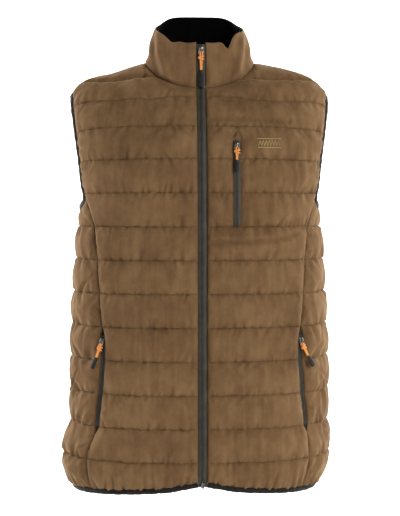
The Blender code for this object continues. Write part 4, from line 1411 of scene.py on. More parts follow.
@dataclass
class FrontPanel(Panel):
    """One front, from the zip to the side seam and the armhole."""

    zip_edge: float = ZIP_EDGE
    neck_chest: float = 96.0
    corner_reach: float = 30.0
    corner_flat: tuple[float, float] = (-31.0, -6.2)
    pocket_slot: float = 4.9
    pocket_rows: tuple[float, float] = POCKET_ROWS
    columns: int = 160
    chest_pocket: bool = False
    chest_x: float = CHEST_ZIP_AT
    chest_rows: tuple[float, float] = CHEST_ROWS
    chest_mouth: float = 10.55
    bag_sides: tuple[float, float] = (73.0, 152.0)
    both_sides: bool = False
    line_puckers: Puckers = Puckers(11.0, 0.75, 13.0, 3.8, 0.4)
    filled: float = 0.3
    chest_filled: float = 0.72
    chest_filled_rows: tuple[float, float] = (8.2, 9.0)
    roundness: float = 2.7
    stitch_dip: float = 0.5
    bag_line: tuple[tuple[float, float], ...] = (
        # distance from the centre, row of the line under the chest pocket
        (8.0, 7.52),
        (60.0, 7.56),
        (111.0, 7.60),
        (133.0, 7.68),
        (158.0, 7.93),
    )
    drops: tuple[tuple[float, float, float], ...] = (
        # distance from the centre, how many rows each of the two highest lines hangs lower there
        (50.0, 0.04, 0.27),
        (85.0, 0.15, 0.27),
        (120.0, 0.02, 0.20),
        (165.0, 0.00, 0.12),
        (190.0, 0.00, 0.00),
    )

    @property
    def collar_corner(self) -> tuple[int, int]:
        """The grid row of the highest line but one and the column where the collar ends."""
        row = round((FORM.top_row - 1 - self.low_row) * self.cells)
        return row, round(self.neck_share * self.columns)

    @property
    def to_shoulder(self) -> bool:
        """True for a panel that reaches the shoulder."""
        return self.high_row >= FORM.top_row

    def channel_parts(self) -> list[tuple[int, int, slice]]:
        """The channels; the two highest rows are one, with a line across it outside the collar."""
        parts = super().channel_parts()
        if not self.to_shoulder:
            return parts
        return parts[:-2] + [(parts[-2][0], parts[-1][1], slice(None))]

    def sewn(self) -> list[tuple[int, slice]]:
        """The grid rows and columns that show a row of stitches."""
        if not self.to_shoulder:
            return super().sewn()
        row, inside = self.collar_corner
        return super().sewn() + [(row, slice(inside, None))]

    def floors(self, along: Grid) -> Grid:
        """The share of the puff kept at stitched lines, more and less along them."""
        share = smooth_step(*self.chest_filled_rows, self.rows[:, None]) if self.to_shoulder else 0.0
        floor = self.filled + (self.chest_filled - self.filled) * share
        return np.clip(floor * (1.0 + 0.45 * waves(along, 48.0, self.seed + 90)), 0.05, 0.8)

    def placed_rows(self, angles: Grid) -> Grid:
        """The body's row that each grid point lies on; the two highest lines hang a little low.

        Args:
            angles: angles round the body of the grid's points.

        Returns:
            The rows, in an array as large as the angles'.
        """
        rows = super().placed_rows(angles)
        if not self.to_shoulder:
            return rows
        top = FORM.top_row
        across = FORM.skin(rows, angles)[..., 0]
        lower = np.interp(rows, (top - 3.0, top - 2.0, top - 1.0), (0.0, 1.0, 0.0))
        upper = np.interp(rows, (top - 2.0, top - 1.0, top), (0.0, 1.0, 0.0))
        return rows - lower * column(self.drops, across, 1) - upper * column(self.drops, across, 2)

    def line_at(self, up: Grid, row_of: Callable[[Grid], Grid]) -> Grid:
        """Distances up the cloth from a line whose row depends on the place across.

        Args:
            up: distances up the cloth from its lower edge.
            row_of: the line's row at distances from the centre.

        Returns:
            The distances, rows by columns.
        """
        across = self.inner[..., 0]
        wanted = row_of(across)
        place = (wanted - self.low_row) * self.cells
        low = np.clip(np.floor(place).astype(int), 0, len(self.rows) - 2)
        part = place - low
        mark = np.take_along_axis(up, low, 0) * (1 - part) + np.take_along_axis(up, low + 1, 0) * part
        return np.abs(up - mark)

    def extra_lines(self, along: Grid, up: Grid) -> list[tuple[Grid, float]]:
        """The quilting line that runs into the collar, and the chest pocket's own lines.

        Args:
            along: distances along the cloth from its first column; not used.
            up: distances up the cloth from its lower edge.

        Returns:
            Each line's distances and how hard it pulls, from 0 to 1.
        """
        found = []
        if self.to_shoulder:
            row, inside = self.collar_corner
            run = np.linspace(58.0, 90.0, 30)
            line = FORM.chest_point(run, np.full_like(run, self.inner[row, inside, 2]))
            to_collar = distances_to(self.inner, line)
            outward = self.line_at(up, lambda x: np.full_like(x, FORM.top_row - 1.0))
            outward[:, :inside] += 1e3
            found.append((np.minimum(to_collar, outward), 0.9))
        return found + self.pocket_lines(up) if self.chest_pocket else found

    def pocket_lines(self, up: Grid) -> list[tuple[Grid, float]]:
        """The chest pocket's yoke, its bag's outline and the pleat over its zip.

        Args:
            up: distances up the cloth from its lower edge.

        Returns:
            Each line's distances and how hard it pulls, from 0 to 1.
        """
        across = self.inner[..., 0]
        rows = np.broadcast_to(self.rows[:, None], across.shape)
        low, high = self.chest_rows
        found = []
        yoke = self.line_at(up, lambda x: np.full_like(x, high + 5 / 24))
        found.append((yoke + 1e3 * smooth_step(140.0, 150.0, across), 0.88))
        found.append((self.line_at(up, lambda x: column(self.bag_line, x, 1)), 0.75))
        past_ends = smooth_step(high - 1.0, high - 0.8, rows), smooth_step(low + 1.0, low + 0.8, rows)
        away = 1e3 * np.maximum(*past_ends)
        for place in self.bag_sides:
            found.append((np.abs(across - place) + away, 0.25))
        tip, mouth = high - 0.12, self.chest_mouth + 0.05
        half = 6.5 * np.clip((tip - rows) / (tip - mouth), 0.0, 1.0)
        outside = 1e3 * (smooth_step(tip, tip + 0.05, rows) + smooth_step(mouth, mouth - 0.05, rows))
        found.append((1.8 * np.abs(np.abs(across - self.chest_x) - half) + outside, 0.6))
        return found

    def fullness(self, points: Grid) -> Grid:
        """Less puff along the shoulder and beside the chest zip.

        Args:
            points: points of the inner face.

        Returns:
            The share of the puff that each point has.
        """
        rows = self.rows[:, None]
        share = super().fullness(points)
        if self.to_shoulder:
            flat = 1.0 - (1.0 - self.shoulder_fullness) * smooth_step(*self.corner_flat, points[..., 2])
            near = smooth_step(55.0, 84.0, points[..., 0])
            near = near * (points[..., 0] < FORM.neck_half + 0.8) * (rows > FORM.top_row - 2.0)
            share = share * (1.0 - near) + flat * near
        if self.chest_pocket:
            low, high = self.chest_rows[0], self.chest_mouth
            near = np.clip((np.abs(points[..., 0] - self.chest_x) - 6.0) / 12.0, 0.0, 1.0) ** 0.6
            beside = smooth_step(low - 0.1, low + 0.05, rows) * smooth_step(high + 0.09, high - 0.03, rows)
            share *= 1.0 - (1.0 - near) * beside
        return share

    def held(self, nearest: Grid) -> Grid:
        """True at the stitches, and under and beside the chest zip.

        Args:
            nearest: distances from the nearest stitched line.

        Returns:
            Where the cloth is held.
        """
        held = super().held(nearest)
        if self.chest_pocket:
            rows = self.rows[:, None]
            beside = np.abs(self.inner[..., 0] - self.chest_x) < 9.0
            held = held | (beside & (rows > self.chest_rows[0] - 0.15) & (rows < self.chest_mouth + 0.15))
        return held

    def slot_half(self, row: Grid) -> Grid:
        """Half the gap at the pocket zip beside the side panel."""
        low, high = self.pocket_rows
        keys = (low - 0.25, low, high, high + 0.25)
        gap = FORM.seam_gap / 2
        return np.interp(row, keys, (gap, self.pocket_slot, self.pocket_slot, gap))

    def angles(self) -> Grid:
        """Angles round the body of every grid point."""
        share = self.neck_columns()
        first = math.asin(self.zip_edge / FORM.neck_half)
        on_neck = FORM.neck_half * np.sin(first + (math.pi / 2 - first) * share)
        on_chest = self.zip_edge + (self.neck_chest - self.zip_edge) * share
        return self.fanned(on_chest, on_neck, -self.slot_half(self.rows), False)

    @cached_property
    def inner(self) -> Grid:
        """Points of the plain inner face, a hair's breadth short of the shoulder seam."""
        angles = self.angles()
        points = FORM.skin(self.placed_rows(angles), angles)
        on_shoulder = points[-1, :, 0] > FORM.neck_half - 0.01
        points[-1, on_shoulder, 1] -= FORM.seam_gap / 2
        return points

    @cached_property
    def normals(self) -> Grid:
        """Directions out of the inner face, evened out where columns crowd at the neck's corner."""
        angles = self.angles()
        made = FORM.slopes(self.placed_rows(angles), angles)[2]
        if not self.to_shoulder:
            return made
        high = smooth_step(FORM.top_row - 2.9, FORM.top_row - 2.1, self.rows)[:, None]
        near = high * smooth_step(self.corner_reach, 0.0, np.abs(self.inner[..., 0] - FORM.neck_half))
        return unit(made * (1.0 - near[..., None]) + FORM.chest_normals(self.inner) * near[..., None])

    def neck_distance(self, points: Grid) -> Grid:
        """Distances to the neck seam."""
        return distances_to(points, neck_seam(False))


@dataclass
class BackPanel(Panel):
    """The back, one piece from side to side."""

    neck_share: float = 0.45
    neck_chest: float = 90.0
    columns: int = 116

    def angles(self) -> Grid:
        """Angles round the body of the left half's grid points, from the centre back."""
        share = self.neck_columns()
        on_neck = FORM.neck_half * np.sin(math.pi / 2 * share)
        return self.fanned(self.neck_chest * share, on_neck, FORM.seam_gap / 2, True)

    def whole(self, half: Grid) -> Grid:
        """Both halves of a grid, from the wearer's left edge to the right one."""
        return np.concatenate([half[:, ::-1], half[:, 1:] * MIRROR], axis=1)

    @cached_property
    def inner(self) -> Grid:
        """Points of the plain inner face."""
        angles = self.angles()
        points = FORM.skin(np.broadcast_to(self.rows[:, None], angles.shape).copy(), angles)
        on_shoulder = points[-1, :, 0] > FORM.neck_half - 0.01
        points[-1, on_shoulder, 1] += FORM.seam_gap / 2
        return self.whole(points)

    @cached_property
    def normals(self) -> Grid:
        """Directions out of the inner face."""
        angles = self.angles()
        wide = np.broadcast_to(self.rows[:, None], angles.shape).copy()
        return self.whole(FORM.slopes(wide, angles)[2])

    def neck_distance(self, points: Grid) -> Grid:
        """Distances to the neck seam."""
        seam = neck_seam(True)
        return distances_to(points, np.concatenate([seam, seam * MIRROR]))


@dataclass
class SidePanel(FrontPanel):
    """A side panel under the armhole, gathered at its lines more than the others."""

    columns: int = 116
    high_row: float = FORM.side_top_row
    top_dip: float = 0.55
    top_bound: bool = True
    filled: float = 0.4
    roundness: float = 2.8
    line_puckers: Puckers = Puckers(20.0, 0.95, 30.0, 5.6, 0.55)
    edge_puckers: Puckers = Puckers(13.0, 0.8, 17.0, 4.0, 0.5)
    both_sides: bool = True
    unevenness: float = 0.6
    stitch_dip: float = 0.7
    swell: float = 0.2
    hem_fullness: float = 1.5

    def angles(self) -> Grid:
        """Angles round the body of every grid point."""
        rows = self.rows
        front = FORM.shifted(rows, FORM.seam_angle(rows, False), self.slot_half(rows))
        back = FORM.shifted(rows, FORM.seam_angle(rows, True), -FORM.seam_gap / 2)
        return front[:, None] + (back - front)[:, None] * np.linspace(0.0, 1.0, self.columns + 1)[None]

    @cached_property
    def inner(self) -> Grid:
        """Points of the plain inner face, its upper edge dipping in the middle."""
        angles = self.angles()
        rows = np.broadcast_to(self.rows[:, None], angles.shape)
        points = FORM.skin(rows.copy(), angles)
        dip = self.top_dip * np.sin(np.linspace(0.0, math.pi, self.columns + 1)) ** 0.7
        place = (rows - np.maximum(rows - FORM.arm_row, 0.0) * dip[None]) * self.cells
        before = np.clip(np.floor(place + 1e-9).astype(int), 0, len(self.rows) - 2)[..., None]
        part = place[..., None] - before
        return (
            np.take_along_axis(points, before, 0) * (1.0 - part)
            + np.take_along_axis(points, before + 1, 0) * part
        )

    def neck_distance(self, points: Grid) -> Grid | float:
        """Far from the neck seam everywhere."""
        return 1e3

    def fullness(self, points: Grid) -> Grid:
        """More puff over the hem, and a softer upper edge."""
        rows = self.rows[:, None] + 0.0 * points[..., 0]
        low = 1.0 + (self.hem_fullness - 1.0) * smooth_step(2.2, 0.8, rows)
        return low * (1.0 - 0.6 * smooth_step(self.high_row - 0.5, self.high_row, rows))


def neck_seam(behind: bool) -> Grid:
    """Points along half of the neck seam, from the centre to the neck point."""
    across = FORM.neck_half * np.sin(np.linspace(0.0, math.pi / 2, 90))
    row = np.full_like(across, float(FORM.top_row))
    return FORM.skin(row, FORM.angle_at(across, row, behind))


def distances_to(points: Grid, line: Grid) -> Grid:
    """Distance of each point of a grid from the nearest point of a line."""
    flat = points.reshape(-1, 3)
    found = np.full(len(flat), np.inf)
    for place in line:
        found = np.minimum(found, np.linalg.norm(flat - place, axis=1))
    return found.reshape(points.shape[:2])


def sweep(
    name: str,
    stations: Grid,
    closed: bool,
    materials: Sequence[bpy.types.Material],
    side_slots: Sequence[int] | None = None,
) -> bpy.types.Object:
    """Makes a solid through a row of cross-sections, each a closed line of points.

    Args:
        name: the piece's name.
        stations: the sections, an array of sections by points by three.
        closed: true if the last section meets the first.
        materials: the piece's materials.
        side_slots: the material of each side of the section, the first one if left out.

    Returns:
        The new object.
    """
    count, sides = stations.shape[:2]
    ids = np.arange(count * sides).reshape(count, sides)
    after = np.roll(ids, -1, axis=0) if closed else ids[1:]
    before = ids if closed else ids[:-1]
    quads = np.stack([before, np.roll(before, -1, 1), np.roll(after, -1, 1), after], -1)
    faces = quads.reshape(-1, 4).tolist()
    slots = list(side_slots or [0] * sides) * len(before)
    if not closed:
        faces += [ids[0][::-1].tolist(), ids[-1].tolist()]
        slots += [0, 0]
    if swept_inward(stations, faces):
        faces = [face[::-1] for face in faces]
    return make_object(name, stations.reshape(-1, 3), faces, materials, slots)


def swept_inward(stations: Grid, faces: Sequence[Sequence[int]]) -> bool:
    """True if faces are wound so that they face into the solid.

    Args:
        stations: the sections that the faces join.
        faces: point numbers of each face.

    Returns:
        Whether the faces have to be turned.
    """
    points = stations.reshape(-1, 3)
    points = points - points.mean(axis=0)
    volume = 0.0
    for face in faces:
        first = points[face[0]]
        for second, third in zip(face[1:-1], face[2:]):
            volume += float(np.dot(first, np.cross(points[second], points[third])))
    return volume < 0.0


def joined(name: str, pieces: Sequence[bpy.types.Object]) -> bpy.types.Object:
    """Joins mesh objects into one.

    Args:
        name: the new object's name.
        pieces: the objects, which are used up.

    Returns:
        The new object.
    """
    materials: list[bpy.types.Material] = []
    points, faces, slots = [], [], []
    for piece in pieces:
        first = len(points)
        table = []
        for material in piece.data.materials:
            if material not in materials:
                materials.append(material)
            table.append(materials.index(material))
        points += [tuple(point.co / MM) for point in piece.data.vertices]
        for face in piece.data.polygons:
            faces.append([first + index for index in face.vertices])
            slots.append(table[face.material_index])
        mesh = piece.data
        bpy.data.objects.remove(piece, do_unlink=True)
        bpy.data.meshes.remove(mesh)
    return make_object(name, np.array(points), faces, materials, slots)


def off_edge(points: Grid, normals: Grid, inwards: Grid, closed: bool) -> Grid:
    """Unit ways that lead off an edge line, square to it and away from the cloth.

    Args:
        points: the edge's points.
        normals: ways out of the cloth.
        inwards: ways into the cloth.
        closed: true for a closed line.

    Returns:
        The ways, one for each point.
    """
    if closed:
        along = np.roll(points, -1, 0) - np.roll(points, 1, 0)
    else:
        along = np.gradient(points, axis=0)
    ways = unit(np.cross(along, normals))
    facing = np.sign((ways * inwards).sum(-1, keepdims=True))
    return -ways * np.where(facing == 0, 1.0, facing)


def evened(points: Grid, step: float, closed: bool, *others: Grid) -> list[Grid]:
    """A line's points, and other values along it, at even steps.

    Args:
        points: the line's points.
        step: about how far apart the new points lie.
        closed: true for a closed line.
        others: other values at the same points.

    Returns:
        The new points, then the other values at them.
    """
    if closed:
        points = np.concatenate([points, points[:1]])
        others = tuple(np.concatenate([other, other[:1]]) for other in others)
    run = np.concatenate([[0.0], np.cumsum(np.linalg.norm(np.diff(points, axis=0), axis=1))])
    count = max(int(round(run[-1] / step)), 2)
    marks = np.linspace(0.0, run[-1], count + 1)
    marks = marks[:-1] if closed else marks
    return [
        np.stack([np.interp(marks, run, values[:, axis]) for axis in range(3)], axis=1)
        for values in (points, *others)
    ]


def waves(run: Grid, length: float, seed: int) -> Grid:
    """An uneven wave along a line, between about -1 and 1."""
    random = np.random.default_rng(seed)
    made = np.zeros_like(run)
    for part in (0.62, 1.0, 1.55, 2.3):
        made += np.sin(2 * math.pi * run / (length * part) + random.uniform(0, 7)) * random.uniform(0.3, 0.6)
    return made / 1.2


@dataclass(frozen=True)
class CollarForm:
    """The stand collar's inner line, from the zip round to the centre back."""

    wall: float = 3.6
    top_half: float = 69.0
    top_front: float = 68.0
    top_back: float = 60.0
    front_height: float = 29.0
    back_rise: float = 60.0
    rise_power: float = 0.8
    oval_power: float = 2.8
    zip_edge: float = ZIP_EDGE
    pinch_left: float = 3.5
    pinch_right: float = 4.5
    folds: tuple[tuple[float, float, float, float], ...] = (
        # degrees at the foot and at the top, how far it stands out, width in degrees
        (34.0, 66.0, 6.0, 7.0),
        (50.0, 84.0, -2.8, 7.0),
        (72.0, 84.0, 1.6, 8.0),
        (128.0, 122.0, 1.6, 10.0),
    )
    edge_left: tuple[tuple[float, float, float], ...] = (
        # degrees, how far the upper edge is lifted there, width in degrees
        (14.0, -3.0, 10.0),
        (33.0, -16.0, 8.0),
        (54.0, 3.0, 9.0),
        (112.0, -11.5, 30.0),
        (180.0, -3.0, 30.0),
    )
    edge_right: tuple[tuple[float, float, float], ...] = (
        (14.0, -3.0, 8.0),
        (35.0, -7.0, 12.0),
        (112.0, -11.5, 30.0),
        (180.0, -3.0, 30.0),
    )

    @property
    def first(self) -> float:
        """The angle at the zip."""
        return math.asin(self.zip_edge / FORM.neck_half)

    def feet(self, angle: Grid) -> tuple[Grid, Grid]:
        """Points of the neck seam and the body's normals there."""
        across = FORM.neck_half * np.sin(angle)
        row = np.full_like(angle, float(FORM.top_row))
        front = FORM.angle_at(across, row, False)
        around = np.where(angle > math.pi / 2, math.pi - front, front)
        return FORM.skin(row, around), FORM.slopes(row, around)[2]

    def top(self, angle: Grid, sign: float = 1.0) -> Grid:
        """Points of the upper inner edge on the wearer's left, or the right one's mirrored.

        Args:
            angle: angles round the neck from the centre front.
            sign: 1 for the wearer's left half and -1 for the right one.

        Returns:
            The points, with a last axis of three.
        """
        power = 2 / self.oval_power
        start = math.sin(self.first) ** power
        share = np.abs(np.sin(angle)) ** power
        behind = angle > math.pi / 2
        stretch = self.zip_edge + (self.top_half - self.zip_edge) * (share - start) / (1 - start)
        across = np.where(behind, self.top_half * share, stretch)
        deep = np.abs(np.cos(angle)) ** power * np.where(behind, self.top_back, -self.top_front)
        reach = self.top_front + self.top_back
        rise = np.maximum((deep + self.top_front) / reach, 0.0) ** self.rise_power
        height = self.front_height + self.back_rise * rise
        for middle, lift, width in self.edge_left if sign > 0 else self.edge_right:
            height = height + lift * np.exp(-(((np.degrees(angle) - middle) / width) ** 2))
        return np.stack([across, deep, height], axis=-1)

    def fold(self, angle: Grid, height: Grid) -> Grid:
        """How far the soft folds stand out.

        Args:
            angle: angles round the neck from the centre front.
            height: heights in the collar, from 0 to 1.

        Returns:
            Distances out of the collar.
        """
        degrees = np.degrees(angle)
        lift = np.zeros(np.broadcast_shapes(angle.shape, height.shape))
        for foot, top, size, width in self.folds:
            away = (degrees - foot - (top - foot) * height) / width
            lift += size * np.exp(-away * away) * np.sin(math.pi * (0.15 + 0.75 * height))
        return lift

    def drawn_in(self, angle: Grid, height: Grid, sign: float) -> Grid:
        """How far the collar's sides are drawn in over the shoulders."""
        beside = np.exp(-(((np.degrees(angle) - 84.0) / 26.0) ** 2))
        pinch = self.pinch_left if sign > 0 else self.pinch_right
        drawn = pinch * beside * np.exp(-(((height - 0.26) / 0.19) ** 2))
        return drawn * smooth_step(0.0, 0.12, height)

    def lines(self, angle: Grid, sign: float) -> tuple[Grid, Grid, Grid, Grid, Grid]:
        """Feet, their normals, tops, ways up off the neck seam and ways out of the collar."""
        feet, normals = self.feet(angle)
        tops = self.top(angle, sign)
        off = off_edge(feet, normals, feet, False)
        out = unit(np.cross(np.gradient(feet, axis=0), unit(tops - feet)))
        return feet, normals, tops, off, out


COLLAR = CollarForm()


@dataclass
class Collar:
    """The padded stand collar, soft folds down its sides and its front corners turned in."""

    columns: int = 62
    levels: int = 20
    seed: int = 6
    puff: float = 1.6
    wrinkle: float = 0.9
    foot_puckers: Puckers = Puckers(10.0, 0.7, 11.0, 3.2, 0.5)
    foot_reach: float = 14.0
    front_reach: float = 8.0
    top_reach: float = 7.0

    def half(self, seed: int, sign: float) -> tuple[Grid, Grid, Grid]:
        """Inner and outer grids of one half, and distances from its seams.

        Args:
            seed: starts the random draws.
            sign: 1 for the wearer's left half and -1 for the right one.

        Returns:
            The inner grid, the outer grid and the distances.
        """
        angle = np.linspace(COLLAR.first, math.pi, self.columns + 1)
        feet, normals, tops, off, out = COLLAR.lines(angle, sign)
        height = np.linspace(0.0, 1.0, self.levels + 1)[:, None]
        base = feet + off * FORM.seam_gap
        drawn_in = COLLAR.drawn_in(angle[None], height, sign)
        inner = base + (tops - feet) * height[..., None] - out[None] * drawn_in[..., None]
        seated = normals * 3.0 + off * FORM.seam_gap / 2
        along, up = cloth_lengths(inner)
        low = self.foot_puckers.field(along, up, float(along[0].max()), seed)
        rise = self.puff * rounded(up, self.foot_reach)
        rim, top = rounded(along, self.front_reach), rounded(up[-1:] - up, self.top_reach)
        soft = self.wrinkle * waves(along * 0.9 + up * 0.35, 34.0, seed) * np.sin(math.pi * height) ** 0.7
        free = COLLAR.wall + COLLAR.fold(angle[None], height) + (rise + soft) * rim * (0.35 + 0.65 * top)
        free = free * (1.0 - 0.35 * low)
        blend = smooth_step(0.0, 0.10, height)[..., None]
        outer = inner + seated[None] * (1.0 - blend) + out[None] * free[..., None] * blend
        nearest = np.minimum(up, np.minimum(along + 1.5, up[-1:] - up + 4.0))
        return inner, outer, nearest

    def build(self, finishes: Finishes) -> bpy.types.Object:
        """Builds the collar in its node's place.

        Args:
            finishes: the vest's materials.

        Returns:
            The collar's object.
        """
        halves = zip(self.half(self.seed, 1.0), self.half(self.seed + 1, -1.0))
        inner, outer, nearest = (both_halves(left, right) for left, right in halves)
        outer, nearest = finer(outer), finer(nearest[..., None])[..., 0]
        made = wall_object("collar_padded", inner, outer, 1.0, (finishes.shell, finishes.shell), nearest)
        take_place(made, "collar")
        return made


@dataclass
class CollarLining:
    """The soft black lining inside the collar, a thin sheet."""

    columns: int = 58
    levels: int = 20
    gap: float = 0.9
    thickness: float = 1.2
    low: float = 0.04
    high: float = 0.96
    over: float = 0.055
    flat: tuple[float, float] = (0.480, 0.075)

    def half(self, sign: float) -> tuple[Grid, Grid]:
        """Back and front grids of one half.

        Args:
            sign: 1 for the wearer's left half and -1 for the right one.

        Returns:
            The grid against the collar and the one that shows.
        """
        angle = np.linspace(COLLAR.first, math.pi, self.columns + 1)
        feet, _, tops, off, out = COLLAR.lines(angle, sign)
        share = np.linspace(0.0, 1.0, self.levels + 1)[:, None]
        behind = smooth_step(60.0, 85.0, np.degrees(angle))[None]
        rise = (1.0 - behind) * share + behind * np.minimum(share / 0.8, 1.0)
        height = self.low + (self.high + self.over * behind - self.low) * rise
        over = (behind * smooth_step(0.8, 1.0, share))[..., None]
        ups = unit(tops - feet)[None]
        base = feet + off * FORM.seam_gap + (tops - feet) * height[..., None]
        drawn_in = COLLAR.drawn_in(angle[None], height, sign)
        base = base + out[None] * (over * (self.gap + 3.2) - drawn_in[..., None])
        along, _ = cloth_lengths(base)
        wave = 0.3 * waves(along, 30.0, 9) * np.sin(math.pi * share)
        front = base - out[None] * self.gap
        thick = self.thickness + 0.4 + wave[..., None]
        back = front - out[None] * thick * (1.0 - over) + ups * thick * over
        return back, front

    def build(self, finishes: Finishes) -> bpy.types.Object:
        """Builds the lining in its node's place.

        Args:
            finishes: the vest's materials.

        Returns:
            The lining's object.
        """
        inner, outer = (both_halves(*pair) for pair in zip(self.half(1.0), self.half(-1.0)))
        outer = finer(outer)
        made = wall_object(
            "collar_lining_sheet",
            inner,
            outer,
            1.0,
            (finishes.collar_lining, finishes.collar_lining),
            np.full(outer.shape[:2], 1e3),
        )
        take_place(made, "collar_lining")
        return made


@dataclass
class Binding:
    """A strip of elastic folded round a cloth edge, drawn up a little by its stretch."""

    name: str
    width: float
    closed: bool
    sign: float = 1.0
    inside: float = 0.8
    outside: float = 4.0
    thickness: float = 0.9
    taper: float = 1.4
    step: float = 2.4
    ripple: float = 0.35
    ripple_length: float = 9.0
    seed: int = 1
    turn_out: float = 0.0
    cover: float = 2.6

    def profile(self) -> Grid:
        """The folded strip's section, as ways off the edge and ways out of the cloth."""
        gap, bend, thick = FORM.seam_gap, self.taper, self.thickness
        low, high = -self.inside, self.outside
        turns = np.linspace(-math.pi / 2, math.pi / 2, 7)
        half, middle = (high - low) / 2, (high + low) / 2
        outer = [(gap, low)]
        outer += [(self.width - bend + bend * math.cos(t), middle + half * math.sin(t)) for t in turns]
        outer += [(gap - self.cover, high)]
        inner = [(gap - self.cover, high - thick)]
        inner += [
            (self.width - bend + (bend - thick) * math.cos(t), middle + (half - thick) * math.sin(t))
            for t in turns[::-1]
        ]
        inner += [(gap, low + thick)]
        return np.array(outer + inner)

    def build(
        self,
        points: Grid,
        normals: Grid,
        inwards: Grid,
        rests_on: Sequence[str],
        finishes: Finishes,
    ) -> bpy.types.Object:
        """Builds the strip along an edge.

        Args:
            points: the cloth's inner edge.
            normals: ways out of the cloth along it.
            inwards: ways into the cloth along it.
            rests_on: names of the pieces that it binds; not used.
            finishes: the vest's materials.

        Returns:
            The new object.
        """
        points, normals, inwards = evened(HANG.moved(points), self.step, self.closed, normals, inwards)
        normals = unit(normals)
        off = off_edge(points, normals, inwards, self.closed)
        upright = self.turn_out * smooth_step(0.75, 0.35, np.abs(off[:, 2])) * (points[:, 1] < 0.0)
        off = unit(off + upright[:, None] * np.array((self.sign, 0.0, 0.0)))
        normals = unit(normals - off * (off * normals).sum(-1, keepdims=True))
        run = np.concatenate([[0.0], np.cumsum(np.linalg.norm(np.diff(points, axis=0), axis=1))])
        length = float(run[-1])
        wave = self.ripple * waves(run, self.ripple_length, self.seed)
        if self.closed:
            wave = wave * smooth_step(0.0, 12.0, run) * smooth_step(0.0, 12.0, length - run)
        section = self.profile()
        sides, ups = section[:, 0], section[:, 1]
        swell = 1.0 + wave[:, None] / self.width * (sides / self.width)[None]
        lift = ups[None] + 0.6 * wave[:, None] * (ups / self.outside)[None]
        stations = (
            points[:, None]
            + off[:, None] * (sides[None] * swell)[..., None]
            + normals[:, None] * lift[..., None]
        )
        made = sweep(self.name + "_strip", stations, self.closed, (finishes.binding,))
        take_place(made, self.name)
        return made


@dataclass
class CoilZip:
    """A closed reversed-coil zip: two woven tapes and, between them, the backs of the coils."""

    name: str
    half: float
    coil_half: float
    low: float = 0.6
    tape_top: float = 2.2
    coil_top: float = 3.0
    groove: float = 0.5
    tuck: float = 0.0
    sunk: float = 0.4

    def profile(self) -> tuple[Grid, list[int]]:
        """The section, its tapes tucked under the cloth, and the material of each of its sides."""
        coil, top, high = self.coil_half, self.tape_top, self.coil_top
        wings = [(self.half, self.low)]
        if self.tuck > 0.0:
            under = self.half + self.tuck
            wings = [(under, -1.3), (under, -0.5), (self.half, -0.4)]
        right = wings + [
            (self.half, top - 0.2),
            (self.half - 0.4, top),
            (coil + 0.7, top + 0.05),
            (coil, high - 0.3),
            (coil * 0.6, high),
            (0.35, high - 0.1),
            (0.0, high - self.groove),
        ]
        left = [(-side, up) for side, up in right[-2::-1]]
        tapes = [0] * (len(wings) + 2)
        coils = [1] * 4
        return np.array(right + left), tapes + coils + coils + tapes + [0]

    def build(
        self,
        points: Grid,
        across: Grid,
        normals: Grid,
        finishes: Finishes,
        flat: Grid | None = None,
        narrow: Grid | None = None,
    ) -> bpy.types.Object:
        """Builds the zip along a line.

        Args:
            points: the line's points.
            across: ways across the zip.
            normals: ways out of it.
            finishes: the vest's materials.
            flat: true where the zip lies sunk, behind its box or under the cloth.
            narrow: true where no cloth covers the tapes' edges.

        Returns:
            The new object.
        """
        section, slots = self.profile()
        sides = np.repeat(section[None, :, :1], len(points), axis=0)
        ups = np.repeat(section[None, :, 1:], len(points), axis=0)
        if narrow is not None:
            sides[narrow] = np.clip(sides[narrow], -self.half, self.half)
        if flat is not None:
            ups[flat] = np.minimum(ups[flat], self.sunk + 0.04 * ups[flat])
        stations = points[:, None] + across[:, None] * sides + normals[:, None] * ups
        made = sweep(self.name + "_tapes", stations, False, (finishes.tape, finishes.coil), slots)
        take_place(made, self.name)
        return made


@dataclass(frozen=True)
class Place:
    """A point of the vest with ways across, out and up."""

    origin: Grid
    axes: Grid

    @staticmethod
    def on(origin: Grid, normal: Grid, up: Grid) -> "Place":
        """Makes a place whose up way is square to its normal."""
        normal = unit(np.asarray(normal, float))
        up = unit(up - normal * np.dot(up, normal))
        return Place(np.asarray(origin, float), np.column_stack((np.cross(normal, up), normal, up)))

    def put(self, points: Grid) -> Grid:
        """Points given across, out and up, in the vest's own axes."""
        return self.origin + np.asarray(points, float) @ self.axes.T


